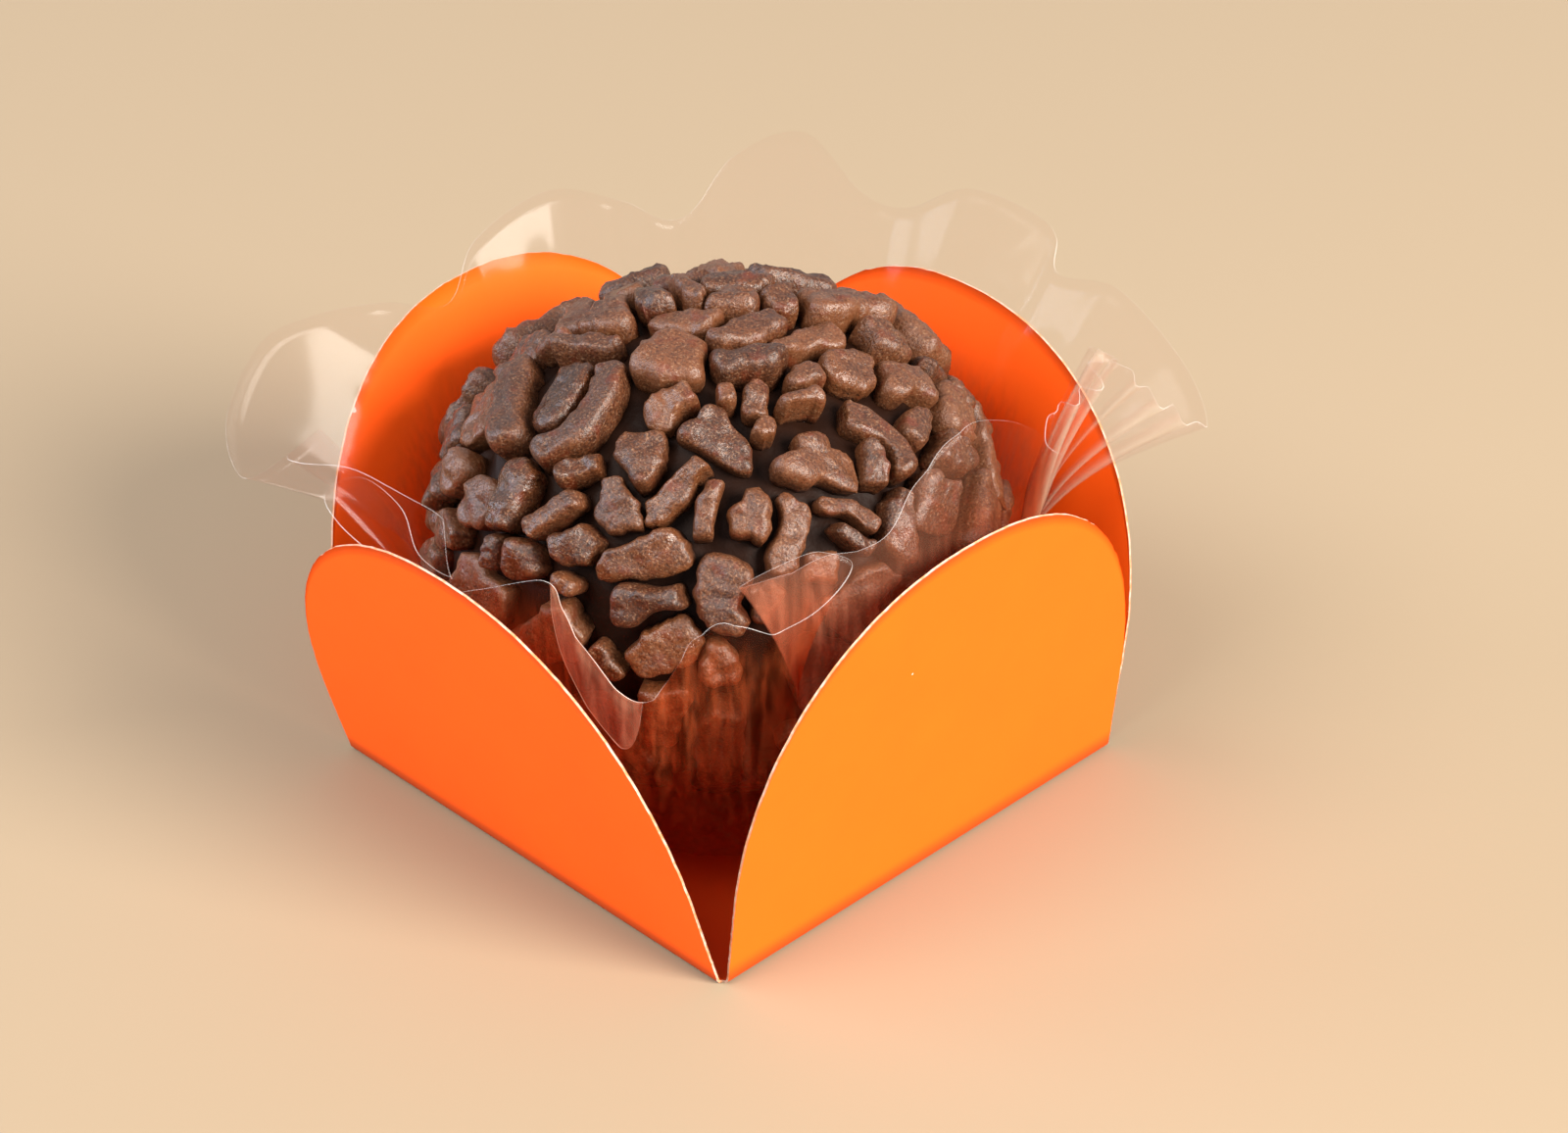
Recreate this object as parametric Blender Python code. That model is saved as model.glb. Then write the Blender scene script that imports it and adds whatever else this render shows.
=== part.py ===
"""A brigadeiro in its clear film liner and four-petal card case.

Metres, +Z up. The origin is the centre of the card base's underside.
The base's sides run along X and Y.
The ball is dark fudge covered all over with flat chocolate flakes.
The liner is one thin film, pressed into a cup with a ruffled rim.
The case is one piece of card, scored and folded up on four sides.
The flakes that show and the liner's rim were placed from the picture, through the view given below.
"""

import math

import bmesh
import bpy
import numpy as np

MM = 0.001
SEED = 23
CREASE = math.radians(25)

# The picture's line of sight: its pixels, and where its eye stands round the part.
PICTURE_CENTRE_PX = (800, 578)
PICTURE_FOCAL_PX = 4684
VIEW_AZIMUTH = math.radians(45.7)
VIEW_ELEVATION = math.radians(34.0)
VIEW_ROLL = math.radians(-0.6)
VIEW_AIM = np.array([2.5, 2.2, 12.8]) * MM
VIEW_DISTANCE = 263 * MM

# The card case.
BASE_SIDE = 32 * MM
CARD = 0.35 * MM
CORNER_NOTCH = 0.45 * MM
PETAL_STRAIGHT = 5.4 * MM
PETAL_ARCH = 18.2 * MM
PETAL_TALL = PETAL_STRAIGHT + PETAL_ARCH
PETAL_ROUNDNESS = 2.2
PETAL_COLUMNS = 16
PETAL_ROWS = 4
# Side of the base as an outward direction, lean outward in degrees, and bow outward at the top.
PETALS = (
    ((1, 0), 6.5, 0.8 * MM),
    ((0, -1), 17.2, -1.3 * MM),
    ((-1, 0), 2.7, 4.9 * MM),
    ((0, 1), 12.9, -0.9 * MM),
)

# The ball: an uneven, slightly sunken sphere of fudge. Its flakes stand FLAKE_HEIGHT proud of it.
FILM = 0.2 * MM
FILM_OFF_BALL = 0.6 * MM
FILM_OFF_CARD = 0.35 * MM
FLAKE_HEIGHT = 0.95 * MM
BALL_CENTRE = np.array([-0.15, -0.5, 15.65]) * MM
CORE_HALF = np.array([15.95, 15.95, 13.3]) * MM
# Broad lumps: direction across, up and towards the picture's eye, rise as a share of the radius, breadth.
LUMPS = (
    ((-0.75, 0.66, 0.1), -0.035, 0.10),
    ((0.62, 0.78, 0.1), 0.015, 0.08),
    ((0.95, 0.15, 0.3), -0.010, 0.10),
)

# Flakes seen in the picture, in its pixels: tail x and y, head x and y, and breadth across the middle.
# Then how much wider the head is than the middle, as a share, and the bend in degrees, positive where
# the ends turn to the left.
SEEN_FLAKES = (
    (508, 456, 520, 361, 38, 0.1, -10),
    (545, 441, 590, 360, 42, 0.0, 0),
    (543, 474, 630, 366, 29, 0.05, 80),
    (652, 365, 710, 366, 54, 0.0, 0),
    (557, 355, 630, 345, 15, 0.0, -10),
    (720, 347, 803, 325, 27, 0.1, 10),
    (662, 318, 738, 330, 22, 0.0, 0),
    (590, 322, 644, 312, 32, 0.1, 0),
    (720, 372, 806, 366, 31, 0.0, -15),
    (650, 508, 656, 442, 42, 0.35, 0),
    (656, 532, 727, 467, 31, 0.0, 10),
    (628, 546, 621, 476, 42, -0.45, 0),
    (715, 554, 728, 482, 26, 0.1, -10),
    (737, 535, 794, 521, 50, 0.2, 0),
    (564, 488, 615, 468, 22, 0.0, 0),
    (532, 545, 590, 503, 25, 0.0, 0),
    (506, 545, 535, 466, 36, 0.1, -15),
    (500, 582, 507, 544, 15, 0.0, 0),
    (472, 536, 492, 482, 31, 0.0, 0),
    (452, 492, 468, 468, 22, 0.0, 0),
    (440, 515, 455, 447, 26, 0.0, 0),
    (470, 448, 488, 390, 32, 0.0, 0),
    (450, 458, 466, 418, 22, 0.0, 0),
    (516, 354, 545, 344, 30, 0.0, 0),
    (545, 346, 584, 336, 15, 0.0, 0),
    (572, 330, 604, 298, 25, 0.0, 0),
    (612, 298, 642, 292, 16, 0.0, 0),
    (643, 306, 684, 303, 24, 0.0, 0),
    (684, 289, 722, 308, 17, 0.0, 40),
    (717, 304, 775, 310, 20, 0.0, -70),
    (681, 283, 705, 279, 12, 0.0, 0),
    (712, 286, 798, 290, 13, 0.0, -25),
    (656, 422, 722, 402, 38, -0.1, 0),
    (696, 416, 776, 478, 42, -0.2, 0),
    (740, 392, 741, 413, 22, 0.0, 0),
    (771, 424, 772, 385, 30, 0.0, 0),
    (769, 433, 799, 446, 25, 0.0, 0),
    (788, 350, 860, 338, 28, 0.1, 0),
    (841, 373, 900, 373, 42, 0.0, 0),
    (902, 388, 954, 393, 43, 0.0, 0),
    (883, 340, 920, 350, 26, 0.0, 0),
    (815, 305, 897, 318, 34, 0.0, 0),
    (783, 295, 815, 317, 23, 0.0, 0),
    (903, 306, 952, 370, 32, 0.0, 0),
    (856, 406, 938, 482, 30, 0.0, -50),
    (845, 496, 821, 424, 66, -0.45, 0),
    (897, 503, 896, 447, 27, 0.0, 0),
    (832, 503, 897, 541, 27, 0.0, -35),
    (850, 534, 892, 562, 23, 0.0, 0),
    (797, 591, 818, 494, 42, 0.0, 0),
    (792, 416, 838, 408, 21, 0.15, 0),
    (802, 386, 840, 376, 28, 0.0, 0),
    (935, 450, 945, 405, 32, 0.0, 0),
    (984, 446, 968, 394, 26, 0.0, 0),
    (559, 563, 617, 550, 41, 0.1, 0),
    (603, 575, 707, 559, 50, 0.05, 0),
    (624, 624, 708, 608, 40, -0.3, 25),
    (738, 650, 742, 562, 60, 0.0, 0),
    (640, 690, 706, 642, 56, 0.2, 0),
    (530, 600, 532, 547, 35, 0.0, 0),
    (562, 590, 589, 605, 22, 0.0, 0),
    (600, 661, 634, 697, 20, 0.0, 0),
    (766, 634, 796, 593, 34, 0.0, 0),
    (818, 581, 859, 582, 37, 0.0, 0),
    (735, 706, 735, 656, 44, 0.0, 0),
    (735, 800, 735, 730, 54, 0.0, 0),
    (962, 545, 962, 486, 44, 0.0, 0),
)
# The other flakes fill what is bare, the widest gap first.
SEEN_WIDEST = 3.8 * MM
SEEN_RANK = 1.5
LEAST_ROOM = 1.3 * MM
FLAKE_LENGTHS = (3.8 * MM, 6.6 * MM)
FLAKE_WIDEST = 1.9 * MM
FLAKE_GAP = 0.3 * MM
NEIGHBOURS_WITHIN = 10 * MM
TIGHTEST_BEND = 1.0
FLAKE_TOP = 0.8
FLAKE_FOOT = 0.55 * MM
# A stiff flake lies on the round fudge by its middle, and is pressed in by this share of its ends' drop.
PRESSED_IN = 0.6
END_ROOM = 0.3
TRIAL_POINTS = 4000
TRIAL_TURNS = 12

# The film liner's cup below its ruffle: radius from the ball's axis, and height.
CUP_RINGS = ((6.0, 0.75), (11.0, 0.75), (13.4, 2.3), (15.5, 6.2), (17.2, 11.2))
# The ruffle's rim, anticlockwise from its low front valley.
# Each point is across the picture, away from its eye, and height, in mm.
RIM = (
    (-5.2, -17.9, 15.8), (-3.1, -18.2, 17.2), (-1.7, -18.8, 20.4), (0.2, -19.2, 22.0), (3.0, -18.9, 21.2),
    (5.9, -17.7, 22.8), (6.9, -16.7, 24.2), (4.4, -17.0, 24.9), (1.0, -17.2, 23.0), (2.6, -16.2, 22.8),
    (5.6, -16.1, 24.0), (8.6, -15.4, 24.8), (10.4, -13.6, 27.1), (12.7, -11.2, 28.8), (15.1, -8.7, 27.9),
    (17.2, -6.4, 25.7), (18.9, -4.4, 22.9), (17.9, -3.0, 22.8), (18.3, -0.6, 23.3), (20.8, 0.7, 24.0),
    (21.2, 3.6, 24.8), (22.6, 1.8, 24.6), (24.6, 0.9, 23.0), (27.3, 1.2, 21.2), (26.3, 4.4, 23.2),
    (22.6, 7.6, 26.4), (19.4, 10.6, 25.7), (19.0, 13.6, 27.2), (14.6, 16.2, 28.2), (11.0, 18.6, 25.6),
    (8.2, 20.2, 25.8), (4.8, 22.4, 28.7), (0.6, 21.6, 27.6), (-2.6, 19.4, 24.6), (-6.0, 19.8, 25.6),
    (-10.4, 19.4, 26.6), (-14.6, 16.2, 25.2), (-16.2, 12.8, 22.8), (-19.6, 10.0, 24.6), (-23.6, 8.6, 24.6),
    (-26.6, 6.8, 23.8), (-28.4, 3.4, 20.8), (-27.4, 0.8, 18.6), (-25.0, 2.8, 18.8), (-23.4, 4.0, 19.6),
    (-22.2, 0.4, 19.6), (-19.6, -2.6, 20.2), (-16.6, -6.0, 19.8), (-14.8, -8.2, 18.4), (-15.9, -9.3, 17.9),
    (-17.9, -7.6, 19.5), (-19.6, -5.4, 21.3), (-22.2, -4.6, 21.6), (-21.6, -7.2, 20.9), (-18.8, -9.9, 20.0),
    (-16.2, -12.6, 19.2), (-13.4, -14.2, 20.6), (-10.9, -16.4, 23.4), (-9.2, -17.0, 21.6), (-7.2, -17.4, 17.9),
)
RIM_STEPS = 2
RUFFLE_ROWS = 4
RUFFLE_LEAVES = 0.5 * MM
# Over a petal's arch the film may lean out by this much for each unit of height, above a margin.
FILM_OVER_CARD = 0.7
ARCH_MARGIN = 2.4 * MM


def view_axes():
    """The picture's right, up and away directions, as unit vectors."""
    a, e, r = VIEW_AZIMUTH, VIEW_ELEVATION, VIEW_ROLL
    away = np.array([-math.sin(a) * math.cos(e), math.cos(a) * math.cos(e), -math.sin(e)])
    level = np.array([math.cos(a), math.sin(a), 0.0])
    raised = np.cross(level, away)
    right = math.cos(r) * level + math.sin(r) * raised
    up = math.cos(r) * raised - math.sin(r) * level
    return right, up, away


RIGHT, UP, AWAY = view_axes()
EYE = VIEW_AIM - AWAY * VIEW_DISTANCE


def unit(v):
    """v, or each row of it, at length 1."""
    return v / np.linalg.norm(v, axis=-1, keepdims=True)


def swell(directions):
    """How far each direction's radius of the ball departs from an even one, as a factor."""
    factor = np.ones(directions.shape[:-1])
    for (across, upward, near), rise, breadth in LUMPS:
        towards = unit(across * RIGHT + upward * UP - near * AWAY)
        factor += rise * np.exp((directions @ towards - 1) / breadth)
    return factor


def on_core(directions):
    """The fudge's surface points in these unit directions from the ball's centre."""
    return BALL_CENTRE + directions * CORE_HALF * swell(directions)[..., None]


def normal_at(direction):
    """The ball's outward normal there, taken from its even shape."""
    return unit(direction / CORE_HALF)


def seen_direction(x_px, y_px):
    """The direction from the ball's centre to where a pixel's line of sight meets the flakes' tops."""
    x, y = x_px - PICTURE_CENTRE_PX[0], PICTURE_CENTRE_PX[1] - y_px
    ray = unit(AWAY * PICTURE_FOCAL_PX + RIGHT * x + UP * y)
    half = CORE_HALF + FLAKE_HEIGHT * 0.7
    start, along = (EYE - BALL_CENTRE) / half, ray / half
    a, b, c = along @ along, start @ along, start @ start - 1
    reach = (-b - math.sqrt(max(b * b - a * c, 0.0))) / a
    return unit(start + reach * along)


class Flake:
    """A flat flake on the ball: a bent, tapered strip round a spine, in the tangent plane at its centre."""

    def __init__(self, direction, along, length, width, taper, bend, tilt, rank=1.0):
        normal = unit(normal_at(direction) + tilt)
        self.centre = on_core(direction)
        self.normal = normal
        self.along = unit(along - (along @ normal) * normal)
        self.across = np.cross(normal, self.along)
        self.length = max(length, width * 1.1)
        self.width = width
        self.taper = taper
        self.bend = bend
        self.rank = rank

    def spine(self, s):
        """The spine's points in the plane and its headings there, s running from -1 at its tail to 1."""
        run = self.length - self.width
        tightest = math.asin(min(run / (2 * TIGHTEST_BEND * self.width), 1.0))
        half_turn = math.copysign(min(max(abs(self.bend) / 2, 1e-3), tightest), self.bend)
        radius = run / (2 * math.sin(half_turn))
        flat = np.stack([np.sin(half_turn * s), math.cos(half_turn) - np.cos(half_turn * s)], axis=-1)
        return flat * radius, half_turn * s

    def half_width(self, s):
        return self.width / 2 * (1 + self.taper * s)

    def place(self, flat, height=0.0):
        """Plane points in the part's frame, raised off the core by a height."""
        in_plane = flat[..., :1] * self.along + flat[..., 1:] * self.across
        return self.centre + in_plane + height * self.normal

    def spine_places(self):
        return self.place(self.spine(np.array([-1.0, -0.5, 0.0, 0.5, 1.0]))[0])


def seen_flakes(rng):
    """The flakes that the picture shows, each where its lines of sight meet the ball."""
    flakes = []
    for x0, y0, x1, y1, breadth, taper, bend in SEEN_FLAKES:
        middle = np.array([x0 + x1, y0 + y1]) / 2
        square = unit(np.array([y0 - y1, x1 - x0])) * breadth / 2
        tail, head = on_core(seen_direction(x0, y0)), on_core(seen_direction(x1, y1))
        side = on_core(seen_direction(*(middle - square)))
        far_side = on_core(seen_direction(*(middle + square)))
        direction = seen_direction(*middle)
        along = unit(head - tail)
        across = np.cross(normal_at(direction), along)
        width = min(abs((far_side - side) @ across), SEEN_WIDEST)
        length = np.linalg.norm(head - tail)
        tilt = rng.normal(0, 0.05, 3)
        flakes.append(Flake(direction, along, length, width, taper, math.radians(bend), tilt, SEEN_RANK))
    return flakes


def fill_flakes(flakes, rng):
    """Adds flakes where the ball is bare, the widest gap first, each turned to where it has most room."""
    k = np.arange(TRIAL_POINTS) + 0.5
    polar, turn = np.arccos(1 - 2 * k / TRIAL_POINTS), np.pi * (1 + 5**0.5) * k
    level = np.stack([np.cos(turn), np.sin(turn)], axis=-1) * np.sin(polar)[:, None]
    trials = np.concatenate([level, np.cos(polar)[:, None]], axis=1)
    places = on_core(trials)

    def room(points, flake):
        apart = np.linalg.norm(points[:, None] - flake.spine_places()[None], axis=-1)
        return (apart - flake.half_width(np.linspace(-1, 1, 5))).min(axis=1)

    free = np.min([room(places, flake) for flake in flakes], axis=0)
    while free.max() > LEAST_ROOM:
        best = int(free.argmax())
        direction, normal = trials[best], normal_at(trials[best])
        width = 2 * min(free[best] - FLAKE_GAP / 2, FLAKE_WIDEST * rng.uniform(0.6, 1.0))
        side = unit(np.cross(normal, [0.3, 0.2, 0.93]))
        turns = np.arange(TRIAL_TURNS) * math.pi / TRIAL_TURNS
        ways = np.cos(turns)[:, None] * side + np.sin(turns)[:, None] * np.cross(normal, side)
        reaches = rng.uniform(*FLAKE_LENGTHS) / 2 * np.array([1.0, 0.85, 0.7, 0.55, 0.4])
        steps = (reaches - width / 2)[:, None, None] * ways
        ends = np.stack([places[best] + steps, places[best] - steps])
        open_ends = np.min([room(ends.reshape(-1, 3), flake) for flake in flakes], axis=0)
        open_ends = open_ends.reshape(ends.shape[:3]).min(axis=0)
        longest = int(np.argmax(open_ends.max(axis=1) > width * END_ROOM))
        pick = int(open_ends[longest].argmax())
        length = 2 * reaches[longest]
        taper, bend = rng.uniform(-0.4, 0.4), rng.normal(0, 0.3)
        flakes.append(Flake(direction, ways[pick], length, width, taper, bend, rng.normal(0, 0.06, 3)))
        free = np.minimum(free, room(places, flakes[-1]))
    return flakes


def outline(flake, others, spine_at, fan, squareness):
    """The flake's outline, kept off the others, and its spine.

    Rays leave the spine square to it and fan out round its ends.
    """
    s = np.concatenate([spine_at, np.ones(len(fan)), spine_at[::-1], -np.ones(len(fan))])
    swing = np.concatenate([
        np.full(len(spine_at), -math.pi / 2), fan, np.full(len(spine_at), math.pi / 2), fan + math.pi,
    ])
    start, heading = flake.spine(s)
    ray = np.stack([np.cos(heading + swing), np.sin(heading + swing)], axis=-1)
    powers = np.abs(np.cos(swing)) ** squareness + np.abs(np.sin(swing)) ** squareness
    reach = flake.half_width(s) / powers ** (1 / squareness)
    shares = np.linspace(0.1, 1.0, 10)
    trial = flake.place(start[:, None] + ray[:, None] * (reach[:, None] * shares)[..., None])
    near = np.full(trial.shape[:2], np.inf)
    for other in others:
        apart = np.linalg.norm(trial[:, :, None] - other.spine_places(), axis=-1)
        share_there = (apart / other.half_width(np.linspace(-1, 1, 5))).min(axis=-1)
        near = np.minimum(near, share_there * flake.rank / other.rank)
    met = shares > near
    share = np.where(met.any(axis=1), shares[met.argmax(axis=1)] - 0.05, 1.0)
    cut = reach * share - FLAKE_GAP / 2
    reach = np.maximum(np.where(met.any(axis=1), cut, reach), 0.35 * MM)
    return start + ray * reach[:, None], start


def mesh_object(name, points, faces):
    """A mesh object from its points and faces."""
    mesh = bpy.data.meshes.new(name)
    mesh.from_pydata([tuple(p) for p in points], [], [tuple(f) for f in faces])
    mesh.validate()
    return bpy.data.objects.new(name, mesh)


def coloured(obj, colour, roughness, alpha=1.0):
    """Gives the object a plain Principled material of its own."""
    material = bpy.data.materials.new(obj.name)
    material.use_nodes = True
    shader = material.node_tree.nodes["Principled BSDF"]
    shader.inputs["Base Color"].default_value = (*colour, 1.0)
    shader.inputs["Roughness"].default_value = roughness
    shader.inputs["Metallic"].default_value = 0.0
    shader.inputs["Alpha"].default_value = alpha
    obj.data.materials.append(material)
    return obj


def shaded_smooth(obj, crease):
    """Shades the object smooth, but for edges sharper than the crease angle."""
    obj.data.shade_smooth()
    obj.data.set_sharp_from_angle(angle=crease)
    return obj


def flake_object(flake, others, name, rng):
    """One flake as a low frustum: a flat top, sides that spread, and a foot sunk into the fudge."""
    fan = np.radians([-38.0, 38.0])
    edge, start = outline(flake, others, np.array([-0.85, 0.85]), fan, 4.0)
    inner = start + (edge - start) * FLAKE_TOP
    curve_drop = (flake.length / 2) ** 2 / (2 * CORE_HALF[0])
    height = FLAKE_HEIGHT * rng.uniform(0.8, 1.0) - curve_drop * PRESSED_IN
    sides = len(edge)
    points = np.concatenate([flake.place(edge, -FLAKE_FOOT - curve_drop), flake.place(inner, height)])
    faces = [(i, (i + 1) % sides, sides + (i + 1) % sides, sides + i) for i in range(sides)]
    faces += [tuple(reversed(range(sides))), tuple(range(sides, 2 * sides))]
    return mesh_object(name, points, faces)


def make_ball():
    """The fudge ball with its flakes fused on by one union."""
    rng = np.random.default_rng(SEED)
    flakes = fill_flakes(seen_flakes(rng), rng)
    core = bmesh.new()
    bmesh.ops.create_icosphere(core, subdivisions=3, radius=1.0)
    directions = unit(np.array([tuple(v.co) for v in core.verts]))
    for vertex, place in zip(core.verts, on_core(directions)):
        vertex.co = place
    mesh = bpy.data.meshes.new("brigadeiro")
    core.to_mesh(mesh)
    core.free()
    ball = bpy.data.objects.new("brigadeiro", mesh)
    bpy.context.scene.collection.objects.link(ball)

    loose = bpy.data.collections.new("flakes")
    bpy.context.scene.collection.children.link(loose)
    for i, flake in enumerate(flakes):
        near = [f for f in flakes if np.linalg.norm(f.centre - flake.centre) < NEIGHBOURS_WITHIN]
        others = [f for f in near if f is not flake]
        loose.objects.link(flake_object(flake, others, f"flake_{i}", rng))
    union = ball.modifiers.new("fuse flakes", "BOOLEAN")
    union.operation = "UNION"
    union.operand_type = "COLLECTION"
    union.collection = loose
    union.solver = "EXACT"
    evaluated = ball.evaluated_get(bpy.context.evaluated_depsgraph_get())
    ball.data = bpy.data.meshes.new_from_object(evaluated)
    ball.modifiers.clear()
    for obj in list(loose.objects):
        bpy.data.objects.remove(obj)
    bpy.data.collections.remove(loose)
    ball.data.materials.clear()
    return coloured(shaded_smooth(ball, CREASE), (0.20, 0.075, 0.035), 0.5)


def petal_faces(outward, lean, bow):
    """A folded petal's outer and inner faces, each in columns from the fold up to the arch."""
    t = np.linspace(math.pi, 0, PETAL_COLUMNS + 1)
    across = np.sign(np.cos(t)) * np.abs(np.cos(t)) ** (2 / PETAL_ROUNDNESS) * (BASE_SIDE / 2 - CORNER_NOTCH)
    tall = PETAL_STRAIGHT + PETAL_ARCH * np.abs(np.sin(t)) ** (2 / PETAL_ROUNDNESS)
    up_the_petal = tall[:, None, None] * np.linspace(0, 1, PETAL_ROWS + 1)[None, :, None]
    out = np.array([*outward, 0.0])
    side = np.array([-outward[1], outward[0], 0.0])
    up = np.array([0.0, 0.0, 1.0])
    slope = math.radians(lean)
    middle = out * (BASE_SIDE - CARD) / 2 + up * CARD / 2 + across[:, None, None] * side
    middle = middle + up_the_petal * (up * math.cos(slope) + out * math.sin(slope))
    middle += out * bow * (up_the_petal / PETAL_TALL) ** 2
    half_card = (out * math.cos(slope) - up * math.sin(slope)) * CARD / 2
    outer, inner = middle + half_card, middle - half_card
    outer[:, 0] = out * BASE_SIDE / 2 + across[:, None] * side
    inner[:, 0] = out * (BASE_SIDE / 2 - CARD) + across[:, None] * side + up * CARD
    return outer, inner


def make_case():
    """The card: a square base and four petals, its outer and inner faces joined along every cut edge."""
    case = bmesh.new()
    under, over = [], []
    for outward, lean, bow in sorted(PETALS, key=lambda p: math.atan2(p[0][1], p[0][0])):
        faces = petal_faces(outward, lean, bow)
        sheets = [[[case.verts.new(p) for p in column] for column in face] for face in faces]
        for sheet in sheets:
            for left, right in zip(sheet, sheet[1:]):
                for low in range(PETAL_ROWS):
                    case.faces.new((left[low], right[low], right[low + 1], left[low + 1]))
        cut = [sheet[0] + [column[-1] for column in sheet[1:-1]] + sheet[-1][::-1] for sheet in sheets]
        for here in range(len(cut[0]) - 1):
            case.faces.new((cut[0][here], cut[0][here + 1], cut[1][here + 1], cut[1][here]))
        corner = np.array([outward[0] - outward[1], outward[1] + outward[0]])
        under += [column[0] for column in sheets[0]]
        under.append(case.verts.new((*corner * BASE_SIDE / 2, 0)))
        over += [column[0] for column in sheets[1]]
        over.append(case.verts.new((*corner * (BASE_SIDE / 2 - CARD), CARD)))
    case.faces.new(under)
    case.faces.new(over)
    step = PETAL_COLUMNS + 2
    for n in range(len(under)):
        if n % step >= PETAL_COLUMNS:
            after = (n + 1) % len(under)
            case.faces.new((under[n], under[after], over[after], over[n]))
    bmesh.ops.recalc_face_normals(case, faces=case.faces)
    mesh = bpy.data.meshes.new("card_case")
    case.to_mesh(mesh)
    case.free()
    obj = bpy.data.objects.new("card_case", mesh)
    bpy.context.scene.collection.objects.link(obj)
    return coloured(obj, (0.88, 0.19, 0.015), 0.55)


def closed_spline(points, steps):
    """A closed Catmull-Rom curve through the points, with this many steps to each."""
    before, here, after, beyond = (np.roll(points, n, axis=0)[:, None] for n in (1, 0, -1, -2))
    t = (np.arange(steps) / steps)[None, :, None]
    curve = 0.5 * (
        2 * here
        + (after - before) * t
        + (2 * before - 5 * here + 4 * after - beyond) * t**2
        + (3 * here - before - 3 * after + beyond) * t**3
    )
    return curve.reshape(-1, points.shape[1])


def cup_azimuths(rim):
    """Where each rim point's pleat stands on the cup, in order even where the rim doubles back."""
    azimuth = np.unwrap(np.arctan2(rim[:, 1] - BALL_CENTRE[1], rim[:, 0] - BALL_CENTRE[0]))
    thrice = np.concatenate([azimuth - 2 * np.pi, azimuth, azimuth + 2 * np.pi])
    ordered = (np.maximum.accumulate(thrice) + np.minimum.accumulate(thrice[::-1])[::-1]) / 2
    spread = np.convolve(ordered, np.ones(9) / 9, mode="same")
    return spread[len(azimuth): 2 * len(azimuth)]


def kept_off(points):
    """Film points moved level, out from the ball and then in from the petals, until they clear both."""
    axis = BALL_CENTRE * np.array([1, 1, 0])
    level = points - axis
    level[..., 2] = 0
    ball = CORE_HALF + FLAKE_HEIGHT + FILM_OFF_BALL + FILM / 2
    rise = (points[..., 2] - BALL_CENTRE[2]) / ball[2]
    least = ball[0] * np.sqrt(np.clip(1 - rise**2, 0, 1)) * (points[..., 2] > CUP_RINGS[2][1] * MM)
    reach = np.linalg.norm(level, axis=-1)
    points = points + level * (np.maximum(least / reach, 1) - 1)[..., None]
    for outward, lean, bow in PETALS:
        out = np.array([*outward, 0.0])
        along = np.abs(points @ np.array([-outward[1], outward[0], 0.0]))
        height = points[..., 2] - CARD / 2
        slope = math.radians(lean)
        wall = (BASE_SIDE - CARD) / 2 + height * math.tan(slope) + bow * (height / PETAL_TALL) ** 2
        wall -= CARD / 2 + FILM / 2 + FILM_OFF_CARD
        arch = 1 - np.clip(along / (BASE_SIDE / 2), 0, 1) ** PETAL_ROUNDNESS
        top = (PETAL_STRAIGHT + PETAL_ARCH * arch ** (1 / PETAL_ROUNDNESS)) * math.cos(slope)
        wall += FILM_OVER_CARD * np.maximum(height - top - ARCH_MARGIN, 0)
        beyond = np.maximum(points @ out - wall, 0) * (along < BASE_SIDE / 2 + ARCH_MARGIN)
        points = points - beyond[..., None] * out
    return points


def liner_surface():
    """The film's middle surface, as columns from the cup's floor up to the ruffled rim."""
    level_right = np.array([math.cos(VIEW_AZIMUTH), math.sin(VIEW_AZIMUTH)])
    level_away = np.array([-math.sin(VIEW_AZIMUTH), math.cos(VIEW_AZIMUTH)])
    across, away, height = np.array(RIM).T[..., None] * MM
    points = np.concatenate([across * level_right + away * level_away, height], axis=1)
    rim = closed_spline(points, RIM_STEPS)
    azimuth = cup_azimuths(rim)
    out = np.stack([np.cos(azimuth), np.sin(azimuth), np.zeros(len(azimuth))], axis=-1)
    axis = np.array([BALL_CENTRE[0], BALL_CENTRE[1], 0.0])
    rings = [axis + out * radius * MM + np.array([0, 0, height * MM]) for radius, height in CUP_RINGS]
    foot = rings[-1]
    climb = (rim[:, 2:] - foot[:, 2:]) * np.array([[0, 0, 0.5]])
    turn = foot + out * RUFFLE_LEAVES + climb
    for t in np.linspace(0, 1, RUFFLE_ROWS + 1)[1:]:
        rings.append((1 - t) ** 2 * foot + 2 * t * (1 - t) * turn + t**2 * rim)
    return kept_off(np.stack(rings, axis=1))


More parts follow.
